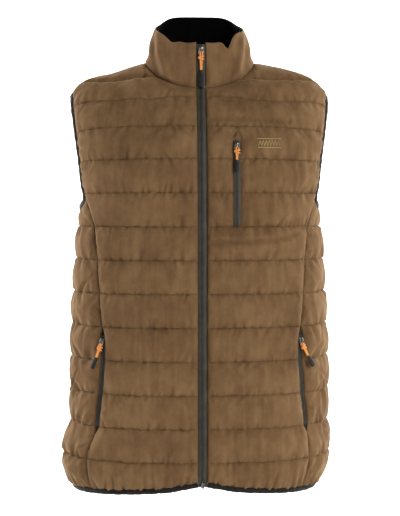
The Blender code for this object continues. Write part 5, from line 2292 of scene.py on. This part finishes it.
@dataclass
class Slider:
    """A zip's slider: two plates round a neck, and a bridge over the pull's link."""

    name: str
    half: float = 4.0
    below: float = 6.0
    above: float = 3.2
    plate: float = 2.0
    bridge_half: float = 1.6
    bridge_top: float = 5.4
    bridge_wire: float = 1.2
    inset: float = 0.45

    def plate_outline(self, inset: float) -> list[tuple[float, float]]:
        """The plate's outline, wide over the shoulders and narrower at its foot.

        Args:
            inset: how far the outline lies inside the widest one.

        Returns:
            Its points, across and up.
        """
        half, foot = self.half - inset, self.half * 0.72 - inset
        top, low = self.above - inset, -self.below + inset
        right = [
            (half * 0.35, top + 0.0),
            (half - 0.9, top - 0.1),
            (half - 0.2, top - 0.8),
            (half, top - 1.9),
            (half - 0.1, top - 3.6),
            (foot + 0.1, low + 2.2),
            (foot, low + 0.8),
            (foot - 0.7, low),
        ]
        return right + [(-side, up) for side, up in right[::-1]]

    def build(self, place: Place, finishes: Finishes) -> bpy.types.Object:
        """Builds the slider in its node's place.

        Args:
            place: where it sits, with its ways across, out and up.
            finishes: the vest's materials.

        Returns:
            The slider's object.
        """
        inset, plate = self.inset, self.plate
        levels = ((0.0, inset), (inset, 0.0), (plate - inset, 0.0), (plate, inset))
        stations = [
            [(side, out, up) for side, up in self.plate_outline(inward)] for out, inward in levels
        ]
        body = sweep(self.name + "_plates", place.put(np.array(stations)), False, (finishes.metal,))
        middle = self.bridge_top - self.bridge_wire / 2
        line = np.array(
            (
                # out, up
                (plate - 0.7, 2.5),
                (plate + 0.6, 2.5),
                (middle - 0.7, 2.3),
                (middle - 0.1, 1.5),
                (middle, 0.2),
                (middle, -1.4),
                (middle - 0.2, -2.1),
                (middle - 0.9, -2.5),
                (middle - 1.7, -2.5),
            )
        )
        along = unit(np.gradient(line, axis=0))
        side_out, side_up = along[:, 1], -along[:, 0]
        wire, half = self.bridge_wire / 2, self.bridge_half
        section = [(half, 0.25), (half - 0.3, 0.5), (-half + 0.3, 0.5), (-half, 0.25)]
        section += [(-half, -0.25), (-half + 0.3, -0.5), (half - 0.3, -0.5), (half, -0.25)]
        rings = [
            [(side, o + so * up * 2 * wire, u + su * up * 2 * wire) for side, up in section]
            for (o, u), so, su in zip(line, side_out, side_up)
        ]
        bridge = sweep(self.name + "_bridge", place.put(np.array(rings)), False, (finishes.metal,))
        made = joined(self.name + "_cast", [body, bridge])
        take_place(made, self.name)
        return made


def tube_rings(path: Grid, radius: float, sides: int) -> Grid:
    """Round sections along a path, as stations for a sweep.

    Args:
        path: the path's points.
        radius: the tube's radius.
        sides: how many sides the tube has.

    Returns:
        The sections.
    """
    along = unit(np.gradient(path, axis=0))
    helper = np.array((0.0, 1.0, 0.0)) if abs(along[0][1]) < 0.9 else np.array((1.0, 0.0, 0.0))
    out = unit(np.cross(along, helper))
    frames = [out[0]]
    for step in along[1:]:
        last = frames[-1]
        frames.append(unit(last - step * np.dot(last, step)))
    first = np.array(frames)
    second = np.cross(along, first)
    turn = np.linspace(0, 2 * math.pi, sides, endpoint=False)
    return (
        path[:, None]
        + first[:, None] * (np.cos(turn) * radius)[None, :, None]
        + second[:, None] * (np.sin(turn) * radius)[None, :, None]
    )


def curved(points: Sequence[Sequence[float]], steps: int, closed: bool = False) -> Grid:
    """A smooth line through points.

    Args:
        points: the points that it passes.
        steps: how many steps it takes from one to the next.
        closed: true for a closed line.

    Returns:
        The line's points.
    """
    line = np.asarray(points, float)
    if closed:
        line = np.concatenate([line[-1:], line, line[:2]])
    else:
        line = np.concatenate([2 * line[:1] - line[1:2], line, 2 * line[-1:] - line[-2:-1]])
    made = []
    for a, b, c, d in zip(line[:-3], line[1:-2], line[2:-1], line[3:]):
        for step in np.linspace(0, 1, steps, endpoint=False):
            cubic = -a + 3 * b - 3 * c + d
            square = 2 * a - 5 * b + 4 * c - d
            made.append(0.5 * (2 * b + (c - a) * step + square * step**2 + cubic * step**3))
    if not closed:
        made.append(line[-2])
    return np.array(made)


# The cord loop of a pull, from the grip round the link's bar and back
CORD_LOOP = (
    # side, how far it stands out, share of the way from the bar to the grip
    (1.0, 0.2, 0.98),
    (1.0, 0.35, 0.6),
    (1.0, 1.3, 0.22),
    (1.0, 1.85, 0.02),
    (1.0, 0.9, -0.16),
    (1.0, -0.9, -0.16),
    (1.0, -1.8, 0.02),
    (0.6, -1.7, 0.26),
    (-0.6, -1.7, 0.26),
    (-1.0, -1.8, 0.02),
    (-1.0, -0.9, -0.16),
    (-1.0, 0.9, -0.16),
    (-1.0, 1.85, 0.02),
    (-1.0, 1.3, 0.22),
    (-1.0, 0.35, 0.6),
    (-1.0, 0.2, 0.98),
)


@dataclass
class Pull:
    """A swinging zip pull: a metal link, a knotted cord loop and a moulded grip."""

    prefix: str
    cord_length: float
    grip_length: float
    grip_width: float
    tilt: float = 0.0
    lift: float = 0.0
    pivot_height: float = 3.1
    ring_half: float = 2.9
    ring_length: float = 9.5
    ring_wire: float = 0.75
    cord_wire: float = 1.1
    cord_apart: float = 1.55
    hitch_half: float = 4.2
    hitch_depth: float = 2.3
    grip_thickness: float = 3.0
    rib_height: float = 0.16
    rib_pitch: float = 1.9

    def hung(self, place: Place) -> Place:
        """The place turned about the pivot by the pull's lift."""
        cos, sin = math.cos(self.lift), math.sin(self.lift)
        turn = np.array(((1.0, 0.0, 0.0), (0.0, cos, -sin), (0.0, sin, cos)))
        pivot = np.array((0.0, self.pivot_height, 0.0))
        return Place(place.origin + place.axes @ (pivot - turn @ pivot), place.axes @ turn)

    @property
    def lean(self) -> Grid:
        """The way the cord runs, across, out and up."""
        return np.array((math.sin(self.tilt), 0.0, -math.cos(self.tilt)))

    @property
    def bar(self) -> Grid:
        """The middle of the link's lower bar."""
        return np.array((0.0, self.pivot_height, -self.ring_length))

    def ring_path(self) -> Grid:
        """The link's line, a rounded frame that widens a little downward."""
        half, low, high = self.ring_half, -self.ring_length, self.pivot_height
        right = [
            (half - 0.9, 0.0),
            (half - 0.1, -0.5),
            (half + 0.3, -3.0),
            (half + 0.9, low + 1.3),
            (half, low),
        ]
        outline = right + [(-side, up) for side, up in right[::-1]]
        return np.array([(side, high, up) for side, up in outline])

    def closed_tube(self, name: str, place: Place, path: Grid, radius: float, material: Any) -> Any:
        """A wire bent into a closed loop."""
        rings = tube_rings(np.concatenate([path[-1:], path, path[:1]]), radius, 10)[1:-1]
        return sweep(name, place.put(rings), True, (material,))

    def cord_pieces(self, place: Place, finishes: Finishes) -> list[bpy.types.Object]:
        """Two strands from the link to the grip, and the hitch round the link's bar.

        Args:
            place: where it sits, with its ways across, out and up.
            finishes: the vest's materials.

        Returns:
            The two pieces, not yet joined.
        """
        out, lean, bar = np.array((0.0, 1.0, 0.0)), self.lean, self.bar
        side = unit(np.cross(lean, out))
        end = bar + lean * (self.cord_length + self.cord_wire + FORM.seam_gap * 0.5)
        span = end - bar
        apart = side * self.cord_apart
        loop = np.array(
            [bar + apart * sign + out * depth + span * share for sign, depth, share in CORD_LOOP]
        )
        squeeze = smooth_step(0.3, 0.75, ((loop - bar) @ lean) / self.cord_length)[:, None]
        loop = loop - side * ((loop - bar) @ side)[:, None] * 0.42 * squeeze
        turn = np.linspace(0.0, 4 * math.pi, 29)[:, None]
        hitch = bar + span * 0.2 + side * self.hitch_half * np.cos(turn)
        hitch = hitch + self.hitch_depth * (out * np.sin(turn) + lean * np.sin(turn / 2))
        return [
            sweep(name, place.put(tube_rings(path, wire, 8)), False, (finishes.cord,))
            for name, path, wire in (
                ("strand", curved(loop, 6), self.cord_wire),
                ("hitch", hitch, self.cord_wire * 0.95),
            )
        ]

    def grip(self, place: Place, finishes: Finishes) -> bpy.types.Object:
        """The moulded grip, ribbed across and waisted at its neck.

        Args:
            place: where it sits, with its ways across, out and up.
            finishes: the vest's materials.

        Returns:
            The grip's object.
        """
        out, lean = np.array((0.0, 1.0, 0.0)), self.lean
        side = unit(np.cross(lean, out))
        start = self.cord_length + 0.8 + FORM.seam_gap
        shares = np.linspace(0.0, 1.0, 57)
        length = self.grip_length
        neck = np.interp(shares, (0.0, 0.03, 0.10, 0.17, 0.30, 1.0), (0.46, 0.52, 0.56, 0.90, 0.97, 1.0))
        ends = np.interp(shares, (0.0, 0.02, 0.93, 0.975, 1.0), (0.75, 1.0, 1.0, 0.93, 0.74))
        ribbed = (shares > 0.26) & (shares < 0.88)
        wave = np.sin(shares * length / self.rib_pitch * 2 * math.pi)
        ribs = np.where(ribbed, self.rib_height * wave, 0.0)
        stations = []
        for share, waist, end, rib in zip(shares, neck, ends, ribs):
            middle = self.bar + lean * (start + length * share)
            wide = self.grip_width / 2 * waist * end
            thick = self.grip_thickness / 2 * (0.88 if share < 0.2 else 1.0) * min(1.0, 0.55 + end * 0.45)
            section = []
            for turn in np.linspace(0, 2 * math.pi, 20, endpoint=False):
                cos, sin = math.cos(turn), math.sin(turn)
                round_side = math.copysign(abs(cos) ** 0.45, cos)
                round_up = math.copysign(abs(sin) ** 0.55, sin)
                lift = rib * (1.0 if abs(cos) < 0.75 else 0.0)
                section.append(middle + side * wide * round_side + out * (thick + lift) * round_up)
            stations.append(section)
        return sweep(self.prefix + "_grip", place.put(np.array(stations)), False, (finishes.grip,))

    def build(self, place: Place, finishes: Finishes) -> None:
        """Builds the pull's pieces in their nodes' places.

        Args:
            place: where it sits, with its ways across, out and up.
            finishes: the vest's materials.
        """
        hung = self.hung(place)
        ring = self.closed_tube(
            self.prefix + "_link", hung, curved(self.ring_path(), 5, True), self.ring_wire, finishes.metal
        )
        cord = joined(self.prefix + "_hitched_cord", self.cord_pieces(hung, finishes))
        grip = self.grip(hung, finishes)
        for made, node, slot in (
            (ring, "_ring", "zip_metal"),
            (cord, "_cord", "pull_cord"),
            (grip, "_tab", "pull_grip"),
        ):
            take_place(made, self.prefix + node, self.prefix)


# The box and pin at the foot of the front zip, from its lower end up
ZIP_BOX = (
    # drop from the top of the pin, half width, depth
    (16.0, 2.0, 2.4),
    (15.5, 2.6, 3.1),
    (14.6, 2.9, 3.4),
    (8.2, 2.9, 3.4),
    (7.6, 2.6, 3.0),
    (7.2, 1.3, 2.4),
    (0.0, 1.2, 2.3),
)


@dataclass
class Fittings:
    """Zips, sliders and pulls with the places that they share."""

    finishes: Finishes
    zip_edge: float = ZIP_EDGE
    pocket_rows: tuple[float, float] = POCKET_ROWS
    pocket_beyond: float = 0.24
    pocket_slider_below: float = 0.15
    pocket_lift: float = 12.0
    chest_rows: tuple[float, float] = CHEST_ROWS
    chest_x: float = CHEST_ZIP_AT
    chest_half: float = 5.6
    chest_low: float = 0.4
    chest_top: float = 1.7
    chest_crown: float = 0.5
    chest_slider_below: float = 0.57
    wall: float = 3.0
    main_slider_below: float = 7.72
    below_hem: float = 5.6
    clear: float = 3.3
    collar_steps: int = 22
    collar_share: float = 0.97

    def main_line(self) -> tuple[Grid, Grid]:
        """Points and normals of the front zip, from the hem up through the collar.

        Returns:
            The points and the normals.
        """
        rows = np.concatenate([[0.0, 0.22, 0.25], np.arange(0.375, FORM.top_row, 0.125)])
        angle = FORM.angle_at(np.full_like(rows, self.zip_edge), rows, False)
        points, normals = FORM.skin(rows, angle), FORM.slopes(rows, angle)[2]
        hem = points[:1] - (0.0, 0.0, self.below_hem)
        points, normals = np.concatenate([hem, points]), np.concatenate([normals[:1], normals])
        first = np.array([COLLAR.first])
        foot, top = COLLAR.feet(first)[0][0], COLLAR.top(first)[0]
        outward = unit(np.array((0.0, foot[2] - top[2], top[1] - foot[1])))
        share = np.linspace(0.0, self.collar_share, self.collar_steps)[:, None]
        points = np.concatenate([points, foot + (top - foot) * share])
        normals = np.concatenate([normals, np.broadcast_to(outward, (self.collar_steps, 3))])
        flat = np.array((0.0, 1.0, 1.0))
        return points * flat, unit(normals * flat)

    def build_main(self) -> None:
        """The front zip with its box, slider and pull."""
        points, normals = self.main_line()
        across = np.broadcast_to((1.0, 0.0, 0.0), points.shape)
        height = points[:, 2]
        in_collar = np.arange(len(points)) >= len(points) - self.collar_steps - 2
        bare = (height < FORM.hem_front + FORM.hem_binding + 1.5) | in_collar
        behind_box = height < self.box_top + 0.5
        zipper = CoilZip("main_zip", half=7.3, coil_half=1.6, tuck=4.5)
        zipper.build(points, across, normals, self.finishes, behind_box, bare)
        up = unit(points[-1] - points[-5])
        foot = points[-1] - up * self.main_slider_below + normals[-1] * self.clear
        place = Place.on(foot, normals[-1], up)
        Slider("main_slider").build(place, self.finishes)
        pull = Pull("main_pull", cord_length=24.0, grip_length=27.0, grip_width=8.6)
        pull.build(place, self.finishes)
        self.build_box()

    @cached_property
    def box_ends(self) -> Grid:
        """Points of the front zip at the hem and at the top of the pin."""
        row = np.array([0.0, 0.25])
        return FORM.skin(row, FORM.angle_at(np.full_like(row, self.zip_edge), row, False))

    @property
    def box_top(self) -> float:
        """Height of the top of the pin."""
        return float(self.box_ends[1][2]) - FORM.seam_gap

    def build_box(self) -> None:
        """The box and pin at the foot of the front zip."""
        foot, top = self.box_ends[0], self.box_top
        stations = []
        for drop, half, depth in ZIP_BOX:
            front, back, height = foot[1] - depth, foot[1] - 0.6, top - drop
            left = [
                (-half, back, height),
                (-half, front + 0.8, height),
                (-half + 0.25, front + 0.25, height),
                (-half + 0.8, front, height),
                (-0.25, front, height),
            ]
            right = [(-x, y, z) for x, y, z in left[::-1]]
            stations.append(left + [(0.0, front + 0.3, height)] + right)
        made = sweep("main_zip_box_cast", np.array(stations), False, (self.finishes.metal,))
        take_place(made, "main_zip_box")

    def build_pockets(self) -> None:
        """The hand pockets' zips with their sliders and pulls."""
        low, high = self.pocket_rows
        below = (low - self.pocket_beyond, low - 0.01)
        above = (high + 0.01, high + self.pocket_beyond)
        rows = np.concatenate([below, np.linspace(low, high, 96), above])
        hidden = (rows < low) | (rows > high)
        angle = FORM.seam_angle(rows, False)
        points = FORM.skin(rows, angle)
        across, _, normals = FORM.slopes(rows, angle)
        row = np.array([high - self.pocket_slider_below])
        seat = FORM.seam_angle(row, False)
        _, seat_up, seat_normal = (way[0] for way in FORM.slopes(row, seat))
        foot = FORM.skin(row, seat)[0] + seat_normal * self.clear
        for side, lean in ((Side.LEFT, 24.0), (Side.RIGHT, 16.0)):
            flip, sign = side.flip, side.value
            name = "pocket_zip_" + side.word
            zipper = CoilZip(name, half=4.5, coil_half=1.1, tuck=3.0, sunk=-0.45)
            zipper.build(points * flip, across * flip * sign, normals * flip, self.finishes, hidden)
            place = Place.on(foot * flip, seat_normal * flip, seat_up * flip)
            Slider("pocket_slider_" + side.word).build(place, self.finishes)
            tilt, lift = -sign * math.radians(lean), math.radians(self.pocket_lift)
            pull = Pull(
                "pocket_pull_" + side.word,
                cord_length=18.0,
                grip_length=19.0,
                grip_width=7.0,
                tilt=tilt,
                lift=lift,
            )
            pull.build(place, self.finishes)

    def build_chest(self) -> None:
        """The chest pocket's zip with its slider and pull."""
        rows = np.linspace(self.chest_rows[0], self.chest_rows[1] - 0.22, 110)
        line = FORM.angle_at(np.full_like(rows, self.chest_x), rows, False)
        across, _, normals = FORM.slopes(rows, line)
        points = FORM.skin(rows, line) + normals * (self.wall + self.chest_low)
        zipper = CoilZip(
            "chest_zip", self.chest_half, coil_half=1.3, low=0.0, tape_top=1.2, coil_top=1.8, groove=0.4
        )
        zipper.build(points, across, normals, self.finishes)
        row = np.array([self.chest_rows[1] - self.chest_slider_below])
        angle = FORM.angle_at(np.array([self.chest_x]), row, False)
        _, up, normal = (way[0] for way in FORM.slopes(row, angle))
        lift = self.wall + self.chest_top + self.chest_crown + FORM.seam_gap
        place = Place.on(FORM.skin(row, angle)[0] + normal * lift, normal, up)
        Slider("chest_slider").build(place, self.finishes)
        pull = Pull("chest_pull", cord_length=16.0, grip_length=19.5, grip_width=7.0)
        pull.build(place, self.finishes)

    def build(self) -> None:
        """Builds all of them."""
        self.build_main()
        self.build_pockets()
        self.build_chest()


@dataclass
class Edges:
    """The bindings of the armholes and the hem, led along the panels' own edges."""

    front: Panel
    side: Panel
    back: Panel
    finishes: Finishes
    arm_width: float = 5.5
    hem_width: float = 6.5

    def armhole(self) -> tuple[Grid, Grid, Grid]:
        """Points, normals and ways into the cloth round the wearer's left armhole.

        Returns:
            The three arrays, one row for each point.
        """
        start = round(FORM.side_top_row * self.front.cells)
        front, back = self.front.inner[start:], self.back.inner[start:][::-1]
        lines = [
            (front[:, -1], self.front.normals[start:, -1], front[:, -6] - front[:, -1]),
            (back[:, 0], self.back.normals[start:, 0][::-1], back[:, 5] - back[:, 0]),
        ]
        top, below = self.side.inner[-1][::-1], self.side.inner[-6][::-1]
        lines.append((top[1:-1], self.side.normals[-1][::-1][1:-1], (below - top)[1:-1]))
        return tuple(np.concatenate([line[place] for line in lines]) for place in range(3))

    def hem(self) -> tuple[Grid, Grid, Grid]:
        """Points, normals and ways up along the hem, from the zip's left round to its right.

        Returns:
            The three arrays, one row for each point.
        """
        half = self.back.inner.shape[1] // 2
        parts = ((self.front, slice(None)), (self.side, slice(1, -1)), (self.back, slice(half + 1)))
        points = np.concatenate([panel.inner[0][part] for panel, part in parts])
        normals = np.concatenate([panel.normals[0][part] for panel, part in parts])
        points = np.concatenate([points, points[-2::-1] * MIRROR])
        normals = np.concatenate([normals, normals[-2::-1] * MIRROR])
        return points, normals, np.broadcast_to((0.0, 0.0, 1.0), points.shape).copy()

    def build(self) -> None:
        """Builds the three bindings."""
        points, normals, inwards = self.armhole()
        for side in Side:
            flip, sign = side.flip, side.value
            names = ["front_" + side.word + "_quilted", "side_" + side.word + "_quilted", "back_quilted"]
            strip = Binding(
                "armhole_binding_" + side.word,
                self.arm_width,
                True,
                sign,
                ripple=0.55,
                seed=11 + int(sign),
                turn_out=0.9,
                cover=4.6,
            )
            strip.build(points * flip, normals * flip, inwards * flip, names, self.finishes)
        panels = ("front_left", "front_right", "side_left", "side_right", "back")
        names = [panel + "_quilted" for panel in panels]
        strip = Binding("hem_binding", self.hem_width, False, seed=15, ripple=0.5, ripple_length=12.0)
        strip.build(*self.hem(), names, self.finishes)


@dataclass
class Stitches:
    """Lock stitches along a panel's quilting, one joined mesh of short threads."""

    name: str
    pitch: float = 3.3
    length: float = 2.3
    thread: float = 0.3
    sides: int = 4

    def build(self, lines: Sequence[tuple[Grid, Grid]], finishes: Finishes) -> bpy.types.Object:
        """Builds the stitches of several lines.

        Args:
            lines: each line's points on the cloth and its ways out of it.
            finishes: the vest's materials.

        Returns:
            The new object.
        """
        turns = np.linspace(0, 2 * math.pi, self.sides, endpoint=False)
        points, faces = [], []
        for line, normals in lines:
            places, ways = evened(line, self.pitch, False, normals)
            along = unit(np.gradient(places, axis=0))
            ways = unit(ways)
            across = np.cross(along, ways)
            for place, run, out, side in zip(places[1:-1], along[1:-1], ways[1:-1], across[1:-1]):
                first = len(points)
                for share, size in ((-0.5, 0.45), (0.0, 1.0), (0.5, 0.45)):
                    middle = place + run * self.length * share + out * self.thread * (size * 0.5 + 0.1)
                    for turn in turns:
                        way = side * math.cos(turn) + out * math.sin(turn)
                        points.append(middle + way * self.thread * size)
                for ring in (0, self.sides):
                    for corner in range(self.sides):
                        near, far = first + ring + corner, first + ring + (corner + 1) % self.sides
                        faces.append((near, near + self.sides, far + self.sides, far))
                faces.append(tuple(range(first, first + self.sides)))
                faces.append(tuple(range(first + 3 * self.sides - 1, first + 2 * self.sides - 1, -1)))
        made = make_object(self.name, np.array(points), faces, (finishes.thread,))
        take_place(made, None)
        return made


@dataclass
class ChestMark:
    """A small embroidered zigzag between two lines on the wearer's left chest."""

    middle: tuple[float, float] = (105.5, -133.5)
    width: float = 38.0
    height: float = 14.0
    thread: float = 0.55
    teeth: int = 7

    def paths(self) -> list[list[tuple[float, float]]]:
        """The lines and the zigzag, across and up."""
        half, top = self.width / 2, self.height / 2
        zigzag = []
        for tooth in range(2 * self.teeth + 1):
            across = -half + 2.0 + (self.width - 4.0) * tooth / (2 * self.teeth)
            zigzag.append((across, (top - 3.2) * (1 if tooth % 2 else -1)))
        return [[(-half, top), (half, top)], zigzag, [(-half, -top), (half, -top)]]

    def build(self, cloth: bpy.types.Object, finishes: Finishes) -> bpy.types.Object:
        """Sews the mark on the cloth.

        Args:
            cloth: the panel that it is sewn on.
            finishes: the vest's materials.

        Returns:
            The mark's object.
        """
        mesh = cloth.data
        points, faces = [point.co for point in mesh.vertices], [face.vertices for face in mesh.polygons]
        tree = BVHTree.FromPolygons(points, faces)
        pieces = []
        for path in self.paths():
            line = []
            for (x0, z0), (x1, z1) in zip(path, path[1:]):
                count = max(int(math.hypot(x1 - x0, z1 - z0) / 0.8), 2)
                for share in np.linspace(0.0, 1.0, count, endpoint=False):
                    line.append((x0 + (x1 - x0) * share, z0 + (z1 - z0) * share))
            line.append(path[-1])
            points = []
            for across, up in line:
                start = Vector((self.middle[0] + across, -400.0, self.middle[1] + up)) * MM
                hit, normal, _, _ = tree.ray_cast(start, Vector((0.0, 1.0, 0.0)))
                points.append(np.array(hit) / MM + np.array(normal) * self.thread * 0.35)
            rings = tube_rings(np.array(points), self.thread, 6)
            pieces.append(sweep("mark_thread", rings, False, (finishes.embroidery,)))
        made = joined("chest_mark", pieces)
        take_place(made, None)
        return made


@dataclass(frozen=True)
class Studio:
    """The pale floor, the soft lights and the camera."""

    camera_distance: float = 2040.0
    camera_turn: float = -2.5
    camera_height: float = -231.0
    aim: tuple[float, float, float] = (1.5, 0.0, -319.0)
    lens: float = 85.5
    floor_height: float = -1150.0
    floor_half: float = 6000.0
    floor_back: float = 2600.0
    bend: float = 1500.0
    wall_height: float = 5000.0

    def build(self) -> None:
        """Builds all of it."""
        self.build_floor()
        self.build_lights()
        self.build_camera()

    def build_floor(self) -> None:
        """A sheet of white paper on the floor that curves up behind the vest."""
        back, low = self.floor_back, self.floor_height
        line = [(-self.floor_half, low)]
        for step in range(13):
            turn = math.pi / 2 * step / 12
            line.append((back + self.bend * math.sin(turn), low + self.bend * (1 - math.cos(turn))))
        line.append((back + self.bend, low + self.wall_height))
        points, faces = [], []
        for depth, height in line:
            points += [(-self.floor_half, depth, height), (self.floor_half, depth, height)]
        for step in range(len(line) - 1):
            first = 2 * step
            faces.append((first, first + 1, first + 3, first + 2))
        floor = make_object("studio_floor", np.array(points), faces, [StudioPaper().make()])

    def build_lights(self) -> None:
        """Large soft boxes in front, one behind for the rim, and an even white world."""
        self.light("key", (2080.0, -2740.0, 900.0), 1.7, 87.0)
        self.light("fill", (-1900.0, -2300.0, 900.0), 1.9, 2.5)
        self.light("rim", (-2500.0, 200.0, 300.0), 1.2, 26.0)
        self.light("paper_left", (-3000.0, 1500.0, 1200.0), 2.0, 260.0, (-600.0, 4200.0, -300.0))
        self.light("paper_right", (3000.0, 1500.0, 1200.0), 2.0, 260.0, (600.0, 4200.0, -300.0))
        world = bpy.data.worlds.new("studio_world")
        bpy.context.scene.world = world
        world.use_nodes = True
        sky = world.node_tree.nodes["Background"]
        sky.inputs["Color"].default_value = linear("FFFFFF")
        sky.inputs["Strength"].default_value = 0.2
        bpy.context.scene.view_settings.view_transform = "Standard"

    def light(
        self,
        name: str,
        place: Sequence[float],
        size_m: float,
        power: float,
        towards: Sequence[float] = (0.0, 0.0, -300.0),
    ) -> None:
        """Adds one square soft box that faces a point, the vest's middle if none is given.

        Args:
            name: the light's name.
            place: where it stands.
            size_m: the length of its sides in metres.
            power: its power in watts.
            towards: the point that it faces.
        """
        data = bpy.data.lights.new(name, "AREA")
        data.size = size_m
        data.energy = power
        lamp = bpy.data.objects.new(name, data)
        lamp.location = Vector(place) * MM
        aim = Vector(towards) * MM - lamp.location
        lamp.rotation_euler = aim.to_track_quat("-Z", "Y").to_euler()
        bpy.context.scene.collection.objects.link(lamp)

    def build_camera(self) -> None:
        """The camera, level with the chest and a little to the wearer's right."""
        data = bpy.data.cameras.new("camera")
        data.lens = self.lens
        data.sensor_width = 36.0
        data.dof.use_dof = False
        camera = bpy.data.objects.new("camera", data)
        turn = math.radians(self.camera_turn)
        camera.location = Vector(
            (
                self.camera_distance * math.sin(turn) + self.aim[0],
                -self.camera_distance * math.cos(turn),
                self.camera_height,
            )
        ) * MM
        aim = Vector(self.aim) * MM - camera.location
        camera.rotation_euler = aim.to_track_quat("-Z", "Y").to_euler()
        bpy.context.scene.collection.objects.link(camera)
        bpy.context.scene.camera = camera


def main() -> None:
    """Builds the vest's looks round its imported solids."""
    logging.basicConfig(level=logging.INFO, format="%(name)s: %(message)s")
    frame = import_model()
    Studio().build()
    finishes = Finishes()

    slots = {row["node"]: row["material_slot"] for row in frame["record"]["subparts"]}
    dress = {
        "shell": finishes.shell,
        "collar_lining": finishes.collar_lining,
        "binding": finishes.binding,
        "zip_tape": finishes.tape,
        "zip_metal": finishes.metal,
        "pull_cord": finishes.cord,
        "pull_grip": finishes.grip,
    }
    for name, node in frame["nodes"].items():
        for slot in node.material_slots:
            slot.material = dress[slots[name]]

    panels = [
        FrontPanel("front_left", Side.LEFT.value, seed=1, chest_pocket=True, drops=LEFT_DROPS),
        FrontPanel("front_right", Side.RIGHT.value, seed=2, shoulder_fullness=0.2),
        SidePanel("side_left", Side.LEFT.value, seed=3),
        SidePanel("side_right", Side.RIGHT.value, seed=4),
        BackPanel("back", seed=5),
    ]
    built = [panel.build(finishes) for panel in panels]
    ChestMark().build(built[0], finishes)
    Collar().build(finishes)
    CollarLining().build(finishes)
    Edges(panels[0], panels[2], panels[4], finishes).build()
    Fittings(finishes).build()


if __name__ == "__main__":
    main()
